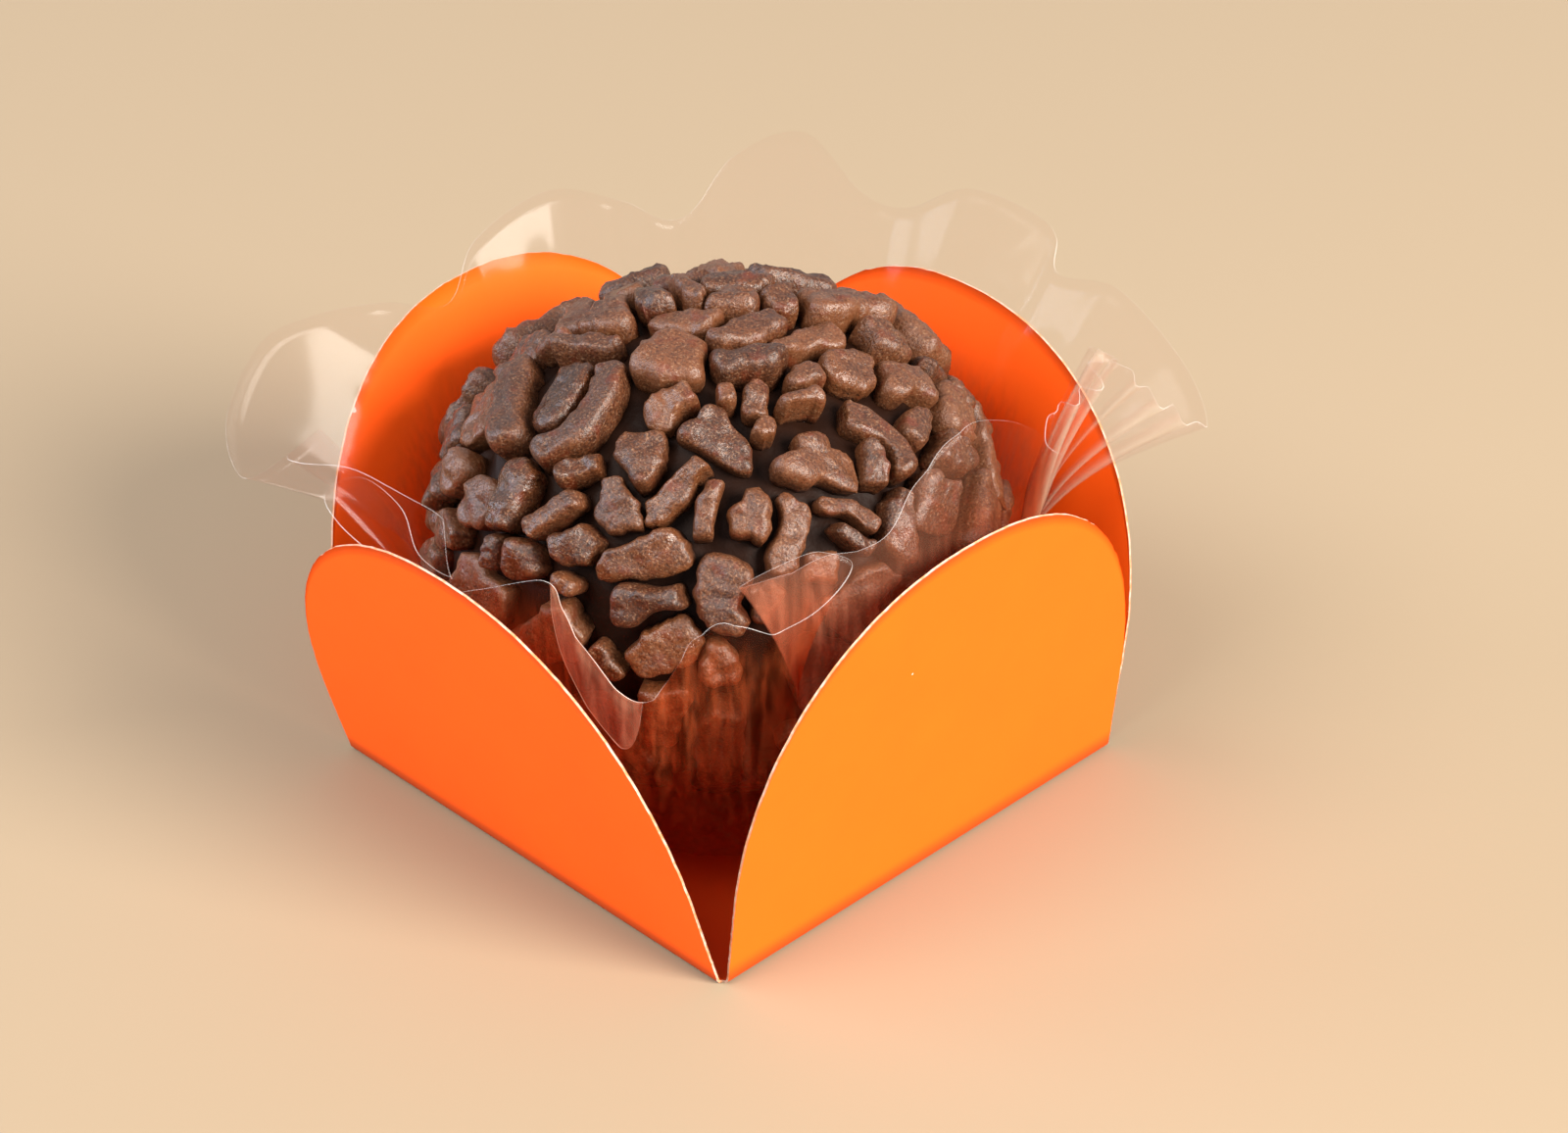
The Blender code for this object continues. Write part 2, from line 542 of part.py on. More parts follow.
def make_liner():
    """The film: its middle surface offset half its thickness each way and closed along the rim."""
    middle = liner_surface()
    count, rows = middle.shape[:2]
    around = np.roll(middle, -1, axis=0) - np.roll(middle, 1, axis=0)
    upward = np.gradient(middle, axis=1)
    facing = unit(np.cross(around, upward))
    centre = np.array([BALL_CENTRE[0], BALL_CENTRE[1], CUP_RINGS[0][1] * MM])
    points = [centre + np.array([0, 0, z]) for z in (-FILM / 2, FILM / 2)]
    outer = middle + facing * FILM / 2
    inner = middle - facing * FILM / 2
    points += [*outer.reshape(-1, 3), *inner.reshape(-1, 3)]

    def at(layer, column, row):
        return 2 + (layer * count + column % count) * rows + row

    faces = []
    for c in range(count):
        faces.append((0, at(0, c + 1, 0), at(0, c, 0)))
        faces.append((1, at(1, c, 0), at(1, c + 1, 0)))
        for r in range(rows - 1):
            for layer in (0, 1):
                a, b = at(layer, c, r), at(layer, c + 1, r)
                d, e = at(layer, c + 1, r + 1), at(layer, c, r + 1)
                faces += [(a, b, d), (a, d, e)] if layer == 0 else [(a, d, b), (a, e, d)]
        top = rows - 1
        faces.append((at(0, c, top), at(0, c + 1, top), at(1, c + 1, top)))
        faces.append((at(0, c, top), at(1, c + 1, top), at(1, c, top)))
    liner = mesh_object("film_liner", points, faces)
    bpy.context.scene.collection.objects.link(liner)
    return coloured(shaded_smooth(liner, CREASE), (0.85, 0.80, 0.74), 0.15, alpha=0.3)


for old in list(bpy.data.objects):
    bpy.data.objects.remove(old)
make_case()
make_liner()
make_ball()
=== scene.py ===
import math
from functools import partial

import bpy
import numpy as np
from mathutils import Matrix


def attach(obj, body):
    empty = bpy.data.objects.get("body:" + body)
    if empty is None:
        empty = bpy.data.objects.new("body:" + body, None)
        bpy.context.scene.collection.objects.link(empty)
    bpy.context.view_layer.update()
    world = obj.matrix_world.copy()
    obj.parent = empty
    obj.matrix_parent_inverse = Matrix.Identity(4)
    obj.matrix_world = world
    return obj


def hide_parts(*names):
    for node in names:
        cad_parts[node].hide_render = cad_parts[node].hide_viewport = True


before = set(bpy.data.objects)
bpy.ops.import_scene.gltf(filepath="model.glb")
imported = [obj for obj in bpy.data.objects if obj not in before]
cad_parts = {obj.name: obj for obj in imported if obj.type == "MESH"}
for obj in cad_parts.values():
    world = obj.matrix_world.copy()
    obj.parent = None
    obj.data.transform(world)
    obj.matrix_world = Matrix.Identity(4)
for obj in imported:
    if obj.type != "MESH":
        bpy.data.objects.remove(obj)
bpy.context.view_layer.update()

# Brigadeiro in a clear film liner and a four-petal card case.
# Metres, Z up, origin under the middle of the card base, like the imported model.
mm = 0.001

camera = {
    "azimuth": 45.68, "elevation": 34.0, "roll": -0.575,  # degrees
    "aim": (2.46, 2.24, 12.8), "distance": 263.3,  # mm
    "lens": 105.4, "sensor": 36.0,  # mm
    "nearest": 0.01,  # m, nothing closer is drawn
}


def viewAxes(view):
    # right = (cos a, sin a, 0) and up = right x away, both turned by the roll;
    # away points from the eye into the picture, and eye = aim - away * distance
    a, e, r = (math.radians(view[key]) for key in ("azimuth", "elevation", "roll"))
    away = np.array([-math.sin(a) * math.cos(e), math.cos(a) * math.cos(e), -math.sin(e)])
    level = np.array([math.cos(a), math.sin(a), 0.0])
    raised = np.cross(level, away)
    right = math.cos(r) * level + math.sin(r) * raised
    up = math.cos(r) * raised - math.sin(r) * level
    return right, up, away, np.array(view["aim"]) * mm - away * view["distance"] * mm


def putUp(name, data, axes=None, place=None):
    # axes are the object's own x, y and z; without them it stays at the origin, unturned
    obj = bpy.data.objects.new(name, data)
    if axes is not None:
        turn = Matrix([list(axis) for axis in axes]).transposed().to_4x4()
        turn.translation = place
        obj.matrix_world = turn
    bpy.context.scene.collection.objects.link(obj)
    return obj


def makeCamera():
    right, up, away, eye = viewAxes(camera)
    data = bpy.data.cameras.new("camera")
    data.lens, data.sensor_width, data.clip_start = camera["lens"], camera["sensor"], camera["nearest"]
    bpy.context.scene.camera = putUp("camera", data, (right, up, -away), eye)


makeCamera()
print("camera set")


def fromHex(code, alpha=1.0):
    # sRGB hex to linear: c / 12.92 below 0.04045, otherwise ((c + 0.055) / 1.055) ^ 2.4
    c = np.array([int(code[i:i + 2], 16) for i in (1, 3, 5)]) / 255
    linear = np.where(c <= 0.04045, c / 12.92, ((c + 0.055) / 1.055) ** 2.4)
    return (*linear.tolist(), alpha)


def addNode(tree, kind, inputs=None, links=None, **settings):
    # a link from a node takes its first output that is in use. Inputs by number: Math 0, 1, 2;
    # Mix 0 share, 6 and 7 colours; MapRange 0 value, 1 and 2 from, 3 and 4 to
    node = tree.nodes.new("ShaderNode" + kind)
    for name, value in settings.items():
        setattr(node, name, value)
    for name, value in (inputs or {}).items():
        node.inputs[name].default_value = value
    for name, source in (links or {}).items():
        socket = next(output for output in getattr(source, "outputs", [source]) if output.enabled)
        tree.links.new(socket, node.inputs[name])
    return node


def newMaterial(name):
    # add is addNode for this material's own tree
    material = bpy.data.materials.new(name)
    material.use_nodes = True
    material.node_tree.nodes.clear()
    return material, partial(addNode, material.node_tree)


def unit(v):
    return v / np.linalg.norm(v, axis=-1, keepdims=True)


def smoothstep(low, high, x):
    # 3t^2 - 2t^3 of t = (x - low) / (high - low), held to 0..1
    t = np.clip((x - low) / (high - low), 0, 1)
    return t * t * (3 - 2 * t)


def fade(window, x):
    # smoothstep over a window given in mm
    return smoothstep(window[0] * mm, window[1] * mm, x)


def ripple(points, size, seed):
    # sum of ten sine waves in random directions, each about size long, divided by the root of ten
    rng = np.random.default_rng(seed)
    waves = unit(rng.normal(size=(10, 3))) * 2 * math.pi / (size * rng.uniform(0.7, 1.4, (10, 1)))
    return np.sin(points @ waves.T + rng.uniform(0, 2 * math.pi, 10)).sum(axis=-1) / math.sqrt(10)


def ripples(points, rows, number=0):
    # sum of amount * ripple, each row giving its amount, its length in mm and its seed
    return sum(amount * ripple(points, size * mm, seed + number) for amount, size, seed in rows)


def makeMesh(name, points, quads, triangles=(), smooth=True, materialIndex=None, attributes=None):
    # quads and triangles are whole index arrays; they go in by foreach_set
    quads = np.asarray(quads, dtype=np.int32).reshape(-1, 4)
    triangles = np.asarray(triangles, dtype=np.int32).reshape(-1, 3)
    mesh = bpy.data.meshes.new(name)
    mesh.vertices.add(len(points))
    mesh.vertices.foreach_set("co", np.ascontiguousarray(points, dtype=np.float32).ravel())
    loops = np.concatenate([quads.ravel(), triangles.ravel()])
    sizes = np.concatenate([np.full(len(quads), 4), np.full(len(triangles), 3)])
    starts = np.concatenate([[0], np.cumsum(sizes)[:-1]])
    mesh.loops.add(len(loops))
    mesh.loops.foreach_set("vertex_index", loops)
    mesh.polygons.add(len(sizes))
    mesh.polygons.foreach_set("loop_start", starts.astype(np.int32))
    mesh.polygons.foreach_set("use_smooth", np.full(len(sizes), smooth))
    if materialIndex is not None:
        mesh.polygons.foreach_set("material_index", np.asarray(materialIndex, dtype=np.int32))
    mesh.update(calc_edges=True)
    for key, values in (attributes or {}).items():
        layer = mesh.attributes.new(key, "FLOAT", "POINT")
        layer.data.foreach_set("value", np.ascontiguousarray(values, dtype=np.float32))
    return putUp(name, mesh)


def quadsOver(index):
    # the four corners of every cell in a grid of point numbers
    corners = index[:-1, :-1], index[1:, :-1], index[1:, 1:], index[:-1, 1:]
    return np.stack(corners, axis=-1).reshape(-1, 4)


def band(first, second):
    # the quads between two closed rows of point numbers
    return np.stack([first, second, np.roll(second, -1), np.roll(first, -1)], axis=-1)


# the ball and where its flakes lie, laid out as in the solid
ball = {
    "seed": 23,
    "centre": (-0.15, -0.5, 15.65),  # mm
    "half": (15.95, 15.95, 13.3),  # mm, half width, depth and height of the fudge
    "flakeHeight": 0.95,  # mm, how far flakes stand proud
    "heights": (0.8, 1.0),  # share of it that a flake has
    "sightAt": 0.7,  # share of it at which the picture's flakes are looked up
    "lumps": (  # across, up, nearer; rise as a share of the radius; breadth
        ((-0.75, 0.66, 0.1), -0.035, 0.10),
        ((0.62, 0.78, 0.1), 0.015, 0.08),
        ((0.95, 0.15, 0.3), -0.010, 0.10),
    ),
    "widest": 3.8,  # mm, of a flake placed from the picture
    "rank": 1.5,  # how strongly such a flake keeps its ground beside the others
    "stubbiest": 1.1,  # least length over width
    "leastRoom": 1.3,  # mm of bare fudge that takes another flake
    "lengths": (3.8, 6.6),  # mm, of such another
    "shorter": (1.0, 0.85, 0.7, 0.55, 0.4),  # shares of the length tried, until its ends have room
    "fillWidest": 1.9, "narrower": (0.6, 1.0),  # mm, half width, and the share of it drawn
    "fillTaper": 0.4, "fillBend": 0.3,  # how much wider one end is, and radians
    "tilts": (0.05, 0.06),  # of the picture's flakes and of the others
    "gap": 0.3,  # mm between flakes
    "tightestBend": 1.0,  # widths
    "endRoom": 0.3,  # widths free past both ends
    "trialPoints": 4000, "trialTurns": 12,
}
# the view the flakes were measured in, rounded as in the solid; centre and focal length in pixels
picture = {"centre": (800, 578), "focal": 4684, "azimuth": 45.7, "elevation": 34.0, "roll": -0.6,
           "aim": (2.5, 2.2, 12.8), "distance": 263}
# Flakes seen in the picture, in its pixels: tail x and y, head x and y, breadth across the middle,
# then, where it has them, how much wider the head is and the bend in degrees.
seenFlakes = (
    (508, 456, 520, 361, 38, 0.1, -10), (545, 441, 590, 360, 42), (543, 474, 630, 366, 29, 0.05, 80),
    (652, 365, 710, 366, 54), (557, 355, 630, 345, 15, 0.0, -10), (720, 347, 803, 325, 27, 0.1, 10),
    (662, 318, 738, 330, 22), (590, 322, 644, 312, 32, 0.1, 0), (720, 372, 806, 366, 31, 0.0, -15),
    (650, 508, 656, 442, 42, 0.35, 0), (656, 532, 727, 467, 31, 0.0, 10),
    (628, 546, 621, 476, 42, -0.45, 0), (715, 554, 728, 482, 26, 0.1, -10),
    (737, 535, 794, 521, 50, 0.2, 0), (564, 488, 615, 468, 22), (532, 545, 590, 503, 25),
    (506, 545, 535, 466, 36, 0.1, -15), (500, 582, 507, 544, 15), (472, 536, 492, 482, 31),
    (452, 492, 468, 468, 22), (440, 515, 455, 447, 26), (470, 448, 488, 390, 32),
    (450, 458, 466, 418, 22), (516, 354, 545, 344, 30), (545, 346, 584, 336, 15),
    (572, 330, 604, 298, 25), (612, 298, 642, 292, 16), (643, 306, 684, 303, 24),
    (684, 289, 722, 308, 17, 0.0, 40), (717, 304, 775, 310, 20, 0.0, -70), (681, 283, 705, 279, 12),
    (712, 286, 798, 290, 13, 0.0, -25), (656, 422, 722, 402, 38, -0.1, 0),
    (696, 416, 776, 478, 42, -0.2, 0), (740, 392, 741, 413, 22), (771, 424, 772, 385, 30),
    (769, 433, 799, 446, 25), (788, 350, 860, 338, 28, 0.1, 0), (841, 373, 900, 373, 42),
    (902, 388, 954, 393, 43), (883, 340, 920, 350, 26), (815, 305, 897, 318, 34),
    (783, 295, 815, 317, 23), (903, 306, 952, 370, 32), (856, 406, 938, 482, 30, 0.0, -50),
    (845, 496, 821, 424, 66, -0.45, 0), (897, 503, 896, 447, 27), (832, 503, 897, 541, 27, 0.0, -35),
    (850, 534, 892, 562, 23), (797, 591, 818, 494, 42), (792, 416, 838, 408, 21, 0.15, 0),
    (802, 386, 840, 376, 28), (935, 450, 945, 405, 32), (984, 446, 968, 394, 26),
    (559, 563, 617, 550, 41, 0.1, 0), (603, 575, 707, 559, 50, 0.05, 0),
    (624, 624, 708, 608, 40, -0.3, 25), (738, 650, 742, 562, 60), (640, 690, 706, 642, 56, 0.2, 0),
    (530, 600, 532, 547, 35), (562, 590, 589, 605, 22), (600, 661, 634, 697, 20),
    (766, 634, 796, 593, 34), (818, 581, 859, 582, 37), (735, 706, 735, 656, 44),
    (735, 800, 735, 730, 54), (962, 545, 962, 486, 44),
)

ballCentre = np.array(ball["centre"]) * mm
ballHalf = np.array(ball["half"]) * mm
flakeHeight = ball["flakeHeight"] * mm
pictureRight, pictureUp, pictureAway, pictureEye = viewAxes(picture)


def onCore(directions):
    # centre + direction * half axes * (1 + sum of lumps),
    # a lump being rise * exp((direction . towards - 1) / breadth)
    factor = np.ones(directions.shape[:-1])
    for (across, upward, near), rise, breadth in ball["lumps"]:
        towards = unit(across * pictureRight + upward * pictureUp - near * pictureAway)
        factor += rise * np.exp((directions @ towards - 1) / breadth)
    return ballCentre + directions * ballHalf * factor[..., None]


def seenDirection(x, y):
    # where the sight line through a picture pixel meets the ball, or passes nearest to it
    ray = unit(pictureAway * picture["focal"] + pictureRight * (x - picture["centre"][0])
               + pictureUp * (picture["centre"][1] - y))
    half = ballHalf + flakeHeight * ball["sightAt"]
    start, along = (pictureEye - ballCentre) / half, ray / half
    a, b, c = along @ along, start @ along, start @ start - 1
    return unit(start + (-b - math.sqrt(max(b * b - a * c, 0.0))) / a * along)


def layFlake(direction, along, length, width, taper, bend, tilt, rank=1.0):
    # a frame in the tangent plane: along the flake, across it, and out of the ball
    normal = unit(unit(direction / ballHalf) + tilt)
    along = unit(along - (along @ normal) * normal)
    return {"centre": onCore(direction), "normal": normal, "along": along,
            "across": np.cross(normal, along), "length": max(length, width * ball["stubbiest"]),
            "width": width, "taper": taper, "bend": bend, "rank": rank}


def spine(flake, s):
    # an arc of a circle whose ends lie on the long axis: R (sin hs, cos h - cos hs), its heading being hs
    run = flake["length"] - flake["width"]
    tightest = math.asin(min(run / (2 * ball["tightestBend"] * flake["width"]), 1.0))
    # never quite straight, so that R stays finite
    h = math.copysign(min(max(abs(flake["bend"]) / 2, 1e-3), tightest), flake["bend"])
    radius = run / (2 * math.sin(h))
    return np.stack([np.sin(h * s), math.cos(h) - np.cos(h * s)], axis=-1) * radius, h * s


def halfWidth(flake, s):
    return flake["width"] / 2 * (1 + flake["taper"] * s)


def onFlake(flake, flat, height=0.0):
    return (flake["centre"] + flat[..., :1] * flake["along"] + flat[..., 1:] * flake["across"]
            + np.asarray(height)[..., None] * flake["normal"])


fiveAlong = np.linspace(-1, 1, 5)  # places on a spine at which room is measured


def spinePlaces(flake):
    return onFlake(flake, spine(flake, fiveAlong)[0])


def roomFrom(points, flake):
    apart = np.linalg.norm(points[:, None] - spinePlaces(flake)[None], axis=-1)
    return (apart - halfWidth(flake, fiveAlong)).min(axis=1)


def layOutFlakes(rng):
    # first the flakes of the picture
    flakes = []
    seenTilt, fillTilt = ball["tilts"]
    for x0, y0, x1, y1, breadth, *shape in seenFlakes:
        taper, bend = shape or (0.0, 0)
        middle = np.array([x0 + x1, y0 + y1]) / 2
        square = unit(np.array([y0 - y1, x1 - x0])) * breadth / 2
        tail, head = onCore(seenDirection(x0, y0)), onCore(seenDirection(x1, y1))
        side, farSide = (onCore(seenDirection(*spot)) for spot in (middle - square, middle + square))
        direction = seenDirection(*middle)
        along = unit(head - tail)
        width = abs((farSide - side) @ np.cross(unit(direction / ballHalf), along))
        width = min(width, ball["widest"] * mm)
        flakes.append(layFlake(direction, along, np.linalg.norm(head - tail), width, taper,
                               math.radians(bend), rng.normal(0, seenTilt, 3), ball["rank"]))
    # then the widest bare spot among a spiral of points again and again, each turned to its roomiest way
    k = np.arange(ball["trialPoints"]) + 0.5
    polar, turn = np.arccos(1 - 2 * k / ball["trialPoints"]), np.pi * (1 + 5**0.5) * k
    level = np.sin(polar)
    trials = np.stack([np.cos(turn) * level, np.sin(turn) * level, np.cos(polar)], axis=-1)
    places = onCore(trials)
    free = np.min([roomFrom(places, flake) for flake in flakes], axis=0)
    turns = np.arange(ball["trialTurns"]) * math.pi / ball["trialTurns"]
    while free.max() > ball["leastRoom"] * mm:
        best = int(free.argmax())
        direction = trials[best]
        normal = unit(direction / ballHalf)
        drawn = ball["fillWidest"] * mm * rng.uniform(*ball["narrower"])
        width = 2 * min(free[best] - ball["gap"] * mm / 2, drawn)
        side = unit(np.cross(normal, [0.3, 0.2, 0.93]))  # any way along the surface
        ways = np.cos(turns)[:, None] * side + np.sin(turns)[:, None] * np.cross(normal, side)
        reaches = rng.uniform(*ball["lengths"]) * mm / 2 * np.array(ball["shorter"])
        steps = (reaches - width / 2)[:, None, None] * ways
        ends = np.stack([places[best] + steps, places[best] - steps]).reshape(-1, 3)
        room = np.min([roomFrom(ends, flake) for flake in flakes], axis=0)
        room = room.reshape(2, *steps.shape[:2]).min(axis=0)
        longest = int(np.argmax(room.max(axis=1) > width * ball["endRoom"]))
        pick = int(room[longest].argmax())
        taper, bend = rng.uniform(-ball["fillTaper"], ball["fillTaper"]), rng.normal(0, ball["fillBend"])
        flakes.append(layFlake(direction, ways[pick], 2 * reaches[longest], width, taper, bend,
                               rng.normal(0, fillTilt, 3)))
        free = np.minimum(free, roomFrom(places, flakes[-1]))
    return flakes


flakeForm = {
    "seed": 7,
    "sidePoints": 11, "endPoints": 13,  # of the outline, along each long side and round each end
    "squareness": (3.0, 7.0),  # power of the rounded rectangle that it starts from
    "breaks": (1, 4),  # straight breaks across corners and ends, from and below
    "breakDepth": (0.76, 0.96),  # share of the flake that a break leaves
    "leastLeft": 0.4, "grazing": 0.05,  # share of a ray that breaks leave; rays more level than this miss
    "broader": 0.97,  # share of the drawn outline that is used
    "neighbours": 10.0,  # mm, how near another flake counts
    "trials": 20,  # steps in which a ray looks for one
    "overlap": 1.0,  # how far a flake may reach, as a share of its own ground
    "apart": 0.55, "least": 0.35,  # mm, left between neighbours that meet, and the least reach
    "rounding": 1,  # passes of smoothing round the outline
    "outline": ((0.09, 2.2, 100), (0.05, 0.8, 500)),  # ripples: share of the reach, mm long, seed
    "top": ((0.1, 1.3, 300), (0.05, 0.55, 700)),  # ripples: mm high, mm long, seed
    "pressedIn": 0.6,  # share of the ends' drop by which a flake is pressed into the fudge
    "lift": (-0.1, 0.75),  # mm, above the film, where flakes lie over one another
    "liftFrom": (15.0, 21.0),  # mm, height at which the lifting begins and is full
    "slope": 0.15, "held": 0.4,  # of the top, and the share of it that is left under the film
    # from the middle of the top, over the shoulder and down into the fudge: share of the reach,
    # share of the height, and depth in mm below the fudge's surface
    "rings": ((0.3, 1.0, 0.0), (0.54, 0.985, 0.0), (0.72, 0.94, 0.0), (0.85, 0.85, 0.0),
              (0.935, 0.72, 0.0), (0.985, 0.54, 0.0), (1.0, 0.34, 0.0), (0.985, 0.12, 0.0),
              (0.95, 0.0, 0.25), (0.88, 0.0, 0.8)),
    "follows": 0.3, "foot": 0.75,  # mm, depth from which rings follow the ball's curve; of the foot
    "rubbed": {1, 10, 16, 55, 58}, "gloss": 0.7,  # flakes rubbed smooth, and the most gloss of the others
}


def breakOff(start, ray, reach, rng):
    # each break keeps the outline behind a straight line: reach <= (limit - start . n) / (ray . n)
    for _ in range(rng.integers(*flakeForm["breaks"])):
        way = rng.uniform(0, 2 * math.pi)
        normal = np.array([math.cos(way), math.sin(way)])
        limit = ((start + ray * reach[:, None]) @ normal).max() * rng.uniform(*flakeForm["breakDepth"])
        facing = ray @ normal
        meets = facing > flakeForm["grazing"]
        room = (limit - start @ normal) / np.where(meets, facing, 1.0)
        broken = np.minimum(reach, np.maximum(room, flakeForm["leastLeft"] * reach))
        reach = np.where(meets, broken, reach)
    return reach


def flakeOutline(flake, others, rng):
    # rays square to the spine and fanned round its ends, each as long as
    # halfWidth / (|cos|^n + |sin|^n)^(1/n); they stop where another flake's share of the ground begins
    sides = np.linspace(-1, 1, flakeForm["sidePoints"])
    fan = np.linspace(-math.pi / 2, math.pi / 2, flakeForm["endPoints"] + 2)[1:-1]
    square = np.full(len(sides), math.pi / 2)
    s = np.concatenate([sides, np.ones(len(fan)), sides[::-1], -np.ones(len(fan))])
    swing = np.concatenate([-square, fan, square, fan + math.pi])
    start, heading = spine(flake, s)
    ray = np.stack([np.cos(heading + swing), np.sin(heading + swing)], axis=-1)
    n = rng.uniform(*flakeForm["squareness"])
    reach = halfWidth(flake, s) / (np.abs(np.cos(swing)) ** n + np.abs(np.sin(swing)) ** n) ** (1 / n)
    reach = breakOff(start, ray, reach * flakeForm["broader"], rng)
    step = 1 / flakeForm["trials"]
    shares = np.linspace(step, 1.0, flakeForm["trials"])
    trial = onFlake(flake, start[:, None] + ray[:, None] * (reach[:, None] * shares)[..., None])
    near = np.full(trial.shape[:2], np.inf)
    for other in others:
        apart = np.linalg.norm(trial[:, :, None] - spinePlaces(other), axis=-1)
        theirs = (apart / halfWidth(other, fiveAlong)).min(axis=-1) * flake["rank"] / other["rank"]
        near = np.minimum(near, theirs)
    met = shares > near * flakeForm["overlap"]
    share = np.where(met.any(axis=1), shares[met.argmax(axis=1)] - step / 2, 1.0)
    stopped = np.where(met.any(axis=1), reach * share - flakeForm["apart"] * mm / 2, reach)
    reach = np.maximum(stopped, flakeForm["least"] * mm)
    for _ in range(flakeForm["rounding"]):
        reach = (np.roll(reach, 1) + 2 * reach + np.roll(reach, -1)) / 4
    return start, ray, reach


def makeFlakes():
    # ring by ring, every point is onFlake(spine + ray * reach * share, share of height + lumps - depth)
    form = flakeForm
    rng = np.random.default_rng(ball["seed"])
    flakes = layOutFlakes(rng)
    heights = [flakeHeight * rng.uniform(*ball["heights"]) for _ in flakes]
    looks = np.random.default_rng(form["seed"])
    rings, sidePoints, endPoints = form["rings"], form["sidePoints"], form["endPoints"]
    around = 2 * (sidePoints + endPoints)
    # which point of the spine each outline point closes on, over the top and under the foot
    closes = np.concatenate([np.arange(sidePoints), np.full(endPoints, sidePoints - 1),
                             np.arange(sidePoints)[::-1], np.zeros(endPoints, dtype=int)])
    here = np.arange(around)
    after = np.roll(here, -1)
    edge = np.concatenate([np.repeat([share for share, _, _ in rings], around), np.zeros(sidePoints),
                           np.ones(sidePoints)])
    points, quads, triangles, tones, glosses = [], [], [], [], []
    for number, (flake, height) in enumerate(zip(flakes, heights)):
        others = [f for f in flakes if f is not flake
                  and np.linalg.norm(f["centre"] - flake["centre"]) < form["neighbours"] * mm]
        start, ray, reach = flakeOutline(flake, others, looks)
        outline = onFlake(flake, start + ray * reach[:, None])
        reach = reach * (1 + ripples(outline, form["outline"], number))
        drop = (flake["length"] / 2) ** 2 / (2 * ballHalf[0])
        height -= drop * form["pressedIn"]
        free = fade(form["liftFrom"], flake["centre"][2])
        height += looks.uniform(*form["lift"]) * mm * free
        slope = looks.normal(0, form["slope"], 2) * (form["held"] + (1 - form["held"]) * free)
        middle = start[:sidePoints]
        for share, tall, deep in (*rings, (None, 1.0, 0.0)):  # the last, without a share, on the spine
            flat = middle if share is None else start + ray * (reach * share)[:, None]
            lump = ripples(onFlake(flake, flat), form["top"], number) * mm + flat @ slope
            sunk = deep * mm + (drop if deep > form["follows"] else 0.0)
            points.append(onFlake(flake, flat, tall * (height + lump) - sunk))
        points.append(onFlake(flake, middle, np.full(sidePoints, -form["foot"] * mm - drop)))
        base = number * len(edge) + np.arange(len(rings)) * around
        for upper, lower in zip(base, base[1:]):
            quads.append(band(upper + here, lower + here))
        topStart, footStart = base[-1] + around, base[-1] + around + sidePoints
        for ring, spineStart, turn in ((base[0], topStart, 1), (base[-1], footStart, -1)):
            a, b = spineStart + closes[here], spineStart + closes[after]
            quads.append(np.stack([a, ring + here, ring + after, b], axis=-1)[a != b, ::turn])
            triangles.append(np.stack([a, ring + here, ring + after], axis=-1)[a == b, ::turn])
        tones.append(np.full(len(edge), looks.uniform()))
        gloss = looks.uniform() ** 2 * form["gloss"] if number not in form["rubbed"] else 1.0
        glosses.append(np.full(len(edge), gloss))
    attributes = {"tone": np.concatenate(tones), "gloss": np.concatenate(glosses),
                  "edge": np.tile(edge, len(flakes))}
    return makeMesh("chocolate_flakes", *map(np.concatenate, (points, quads, triangles)),
                    attributes=attributes)


core = {
    "around": 192, "upwards": 96,
    "sunken": 0.55,  # mm, below the surface that the flakes stand on
    "ripples": ((0.16, 3.0, 11), (0.056, 1.1, 12)),  # mm high, mm long, seed
}


def makeCore():
    # direction(a, b) = (sin b cos a, sin b sin a, cos b), carried to the ball's surface and rippled
    a = np.linspace(0, 2 * math.pi, core["around"], endpoint=False)
    b = np.linspace(0, math.pi, core["upwards"] + 1)[1:-1]
    grid = np.stack([np.sin(b)[:, None] * np.cos(a), np.sin(b)[:, None] * np.sin(a),
                     np.repeat(np.cos(b)[:, None], len(a), axis=1)], axis=-1)
    directions = np.concatenate([grid.reshape(-1, 3), [[0, 0, 1], [0, 0, -1]]])
    places = onCore(directions)
    rough = ripples(places, core["ripples"]) - core["sunken"]
    points = places + unit(directions / ballHalf) * (rough * mm)[:, None]
    rows, columns = len(b), len(a)
    index = np.arange(rows * columns).reshape(rows, columns)
    quads = quadsOver(np.concatenate([index, index[:, :1]], axis=1))
    north, south = np.full(columns, rows * columns), np.full(columns, rows * columns + 1)
    caps = [np.stack([north, index[0], np.roll(index[0], -1)], axis=-1),
            np.stack([south, np.roll(index[-1], -1), index[-1]], axis=-1)]
    return makeMesh("fudge_ball", points, quads, np.concatenate(caps))


card = {
    "side": 32.0, "thick": 0.15,  # mm
    "notch": 0.45,  # mm, where each fold stops short of the base's side
    "straight": 5.4, "arch": 18.2,  # mm, of a petal: its straight sides, and the arch over them
    "roundness": 2.2,  # power of the arch, 2 being half an ellipse
    # which way each petal faces, degrees it leans out, and mm its tip bows out
    "petals": (((1, 0), 6.5, 0.8), ((0, -1), 17.2, -1.3), ((-1, 0), 2.7, 4.9), ((0, 1), 12.9, -0.9)),
    "columns": 96, "foldRows": 4, "rows": 26,
    "lip": 0.02,  # mm, how far the cut edge stands out
    "fluff": ((0.021, 0.5, 41), (0.0175, 0.22, 42)),  # its ripples: mm high, mm long, seed
    "faceFluff": 0.7,  # share of them that the faces' own edges take
}


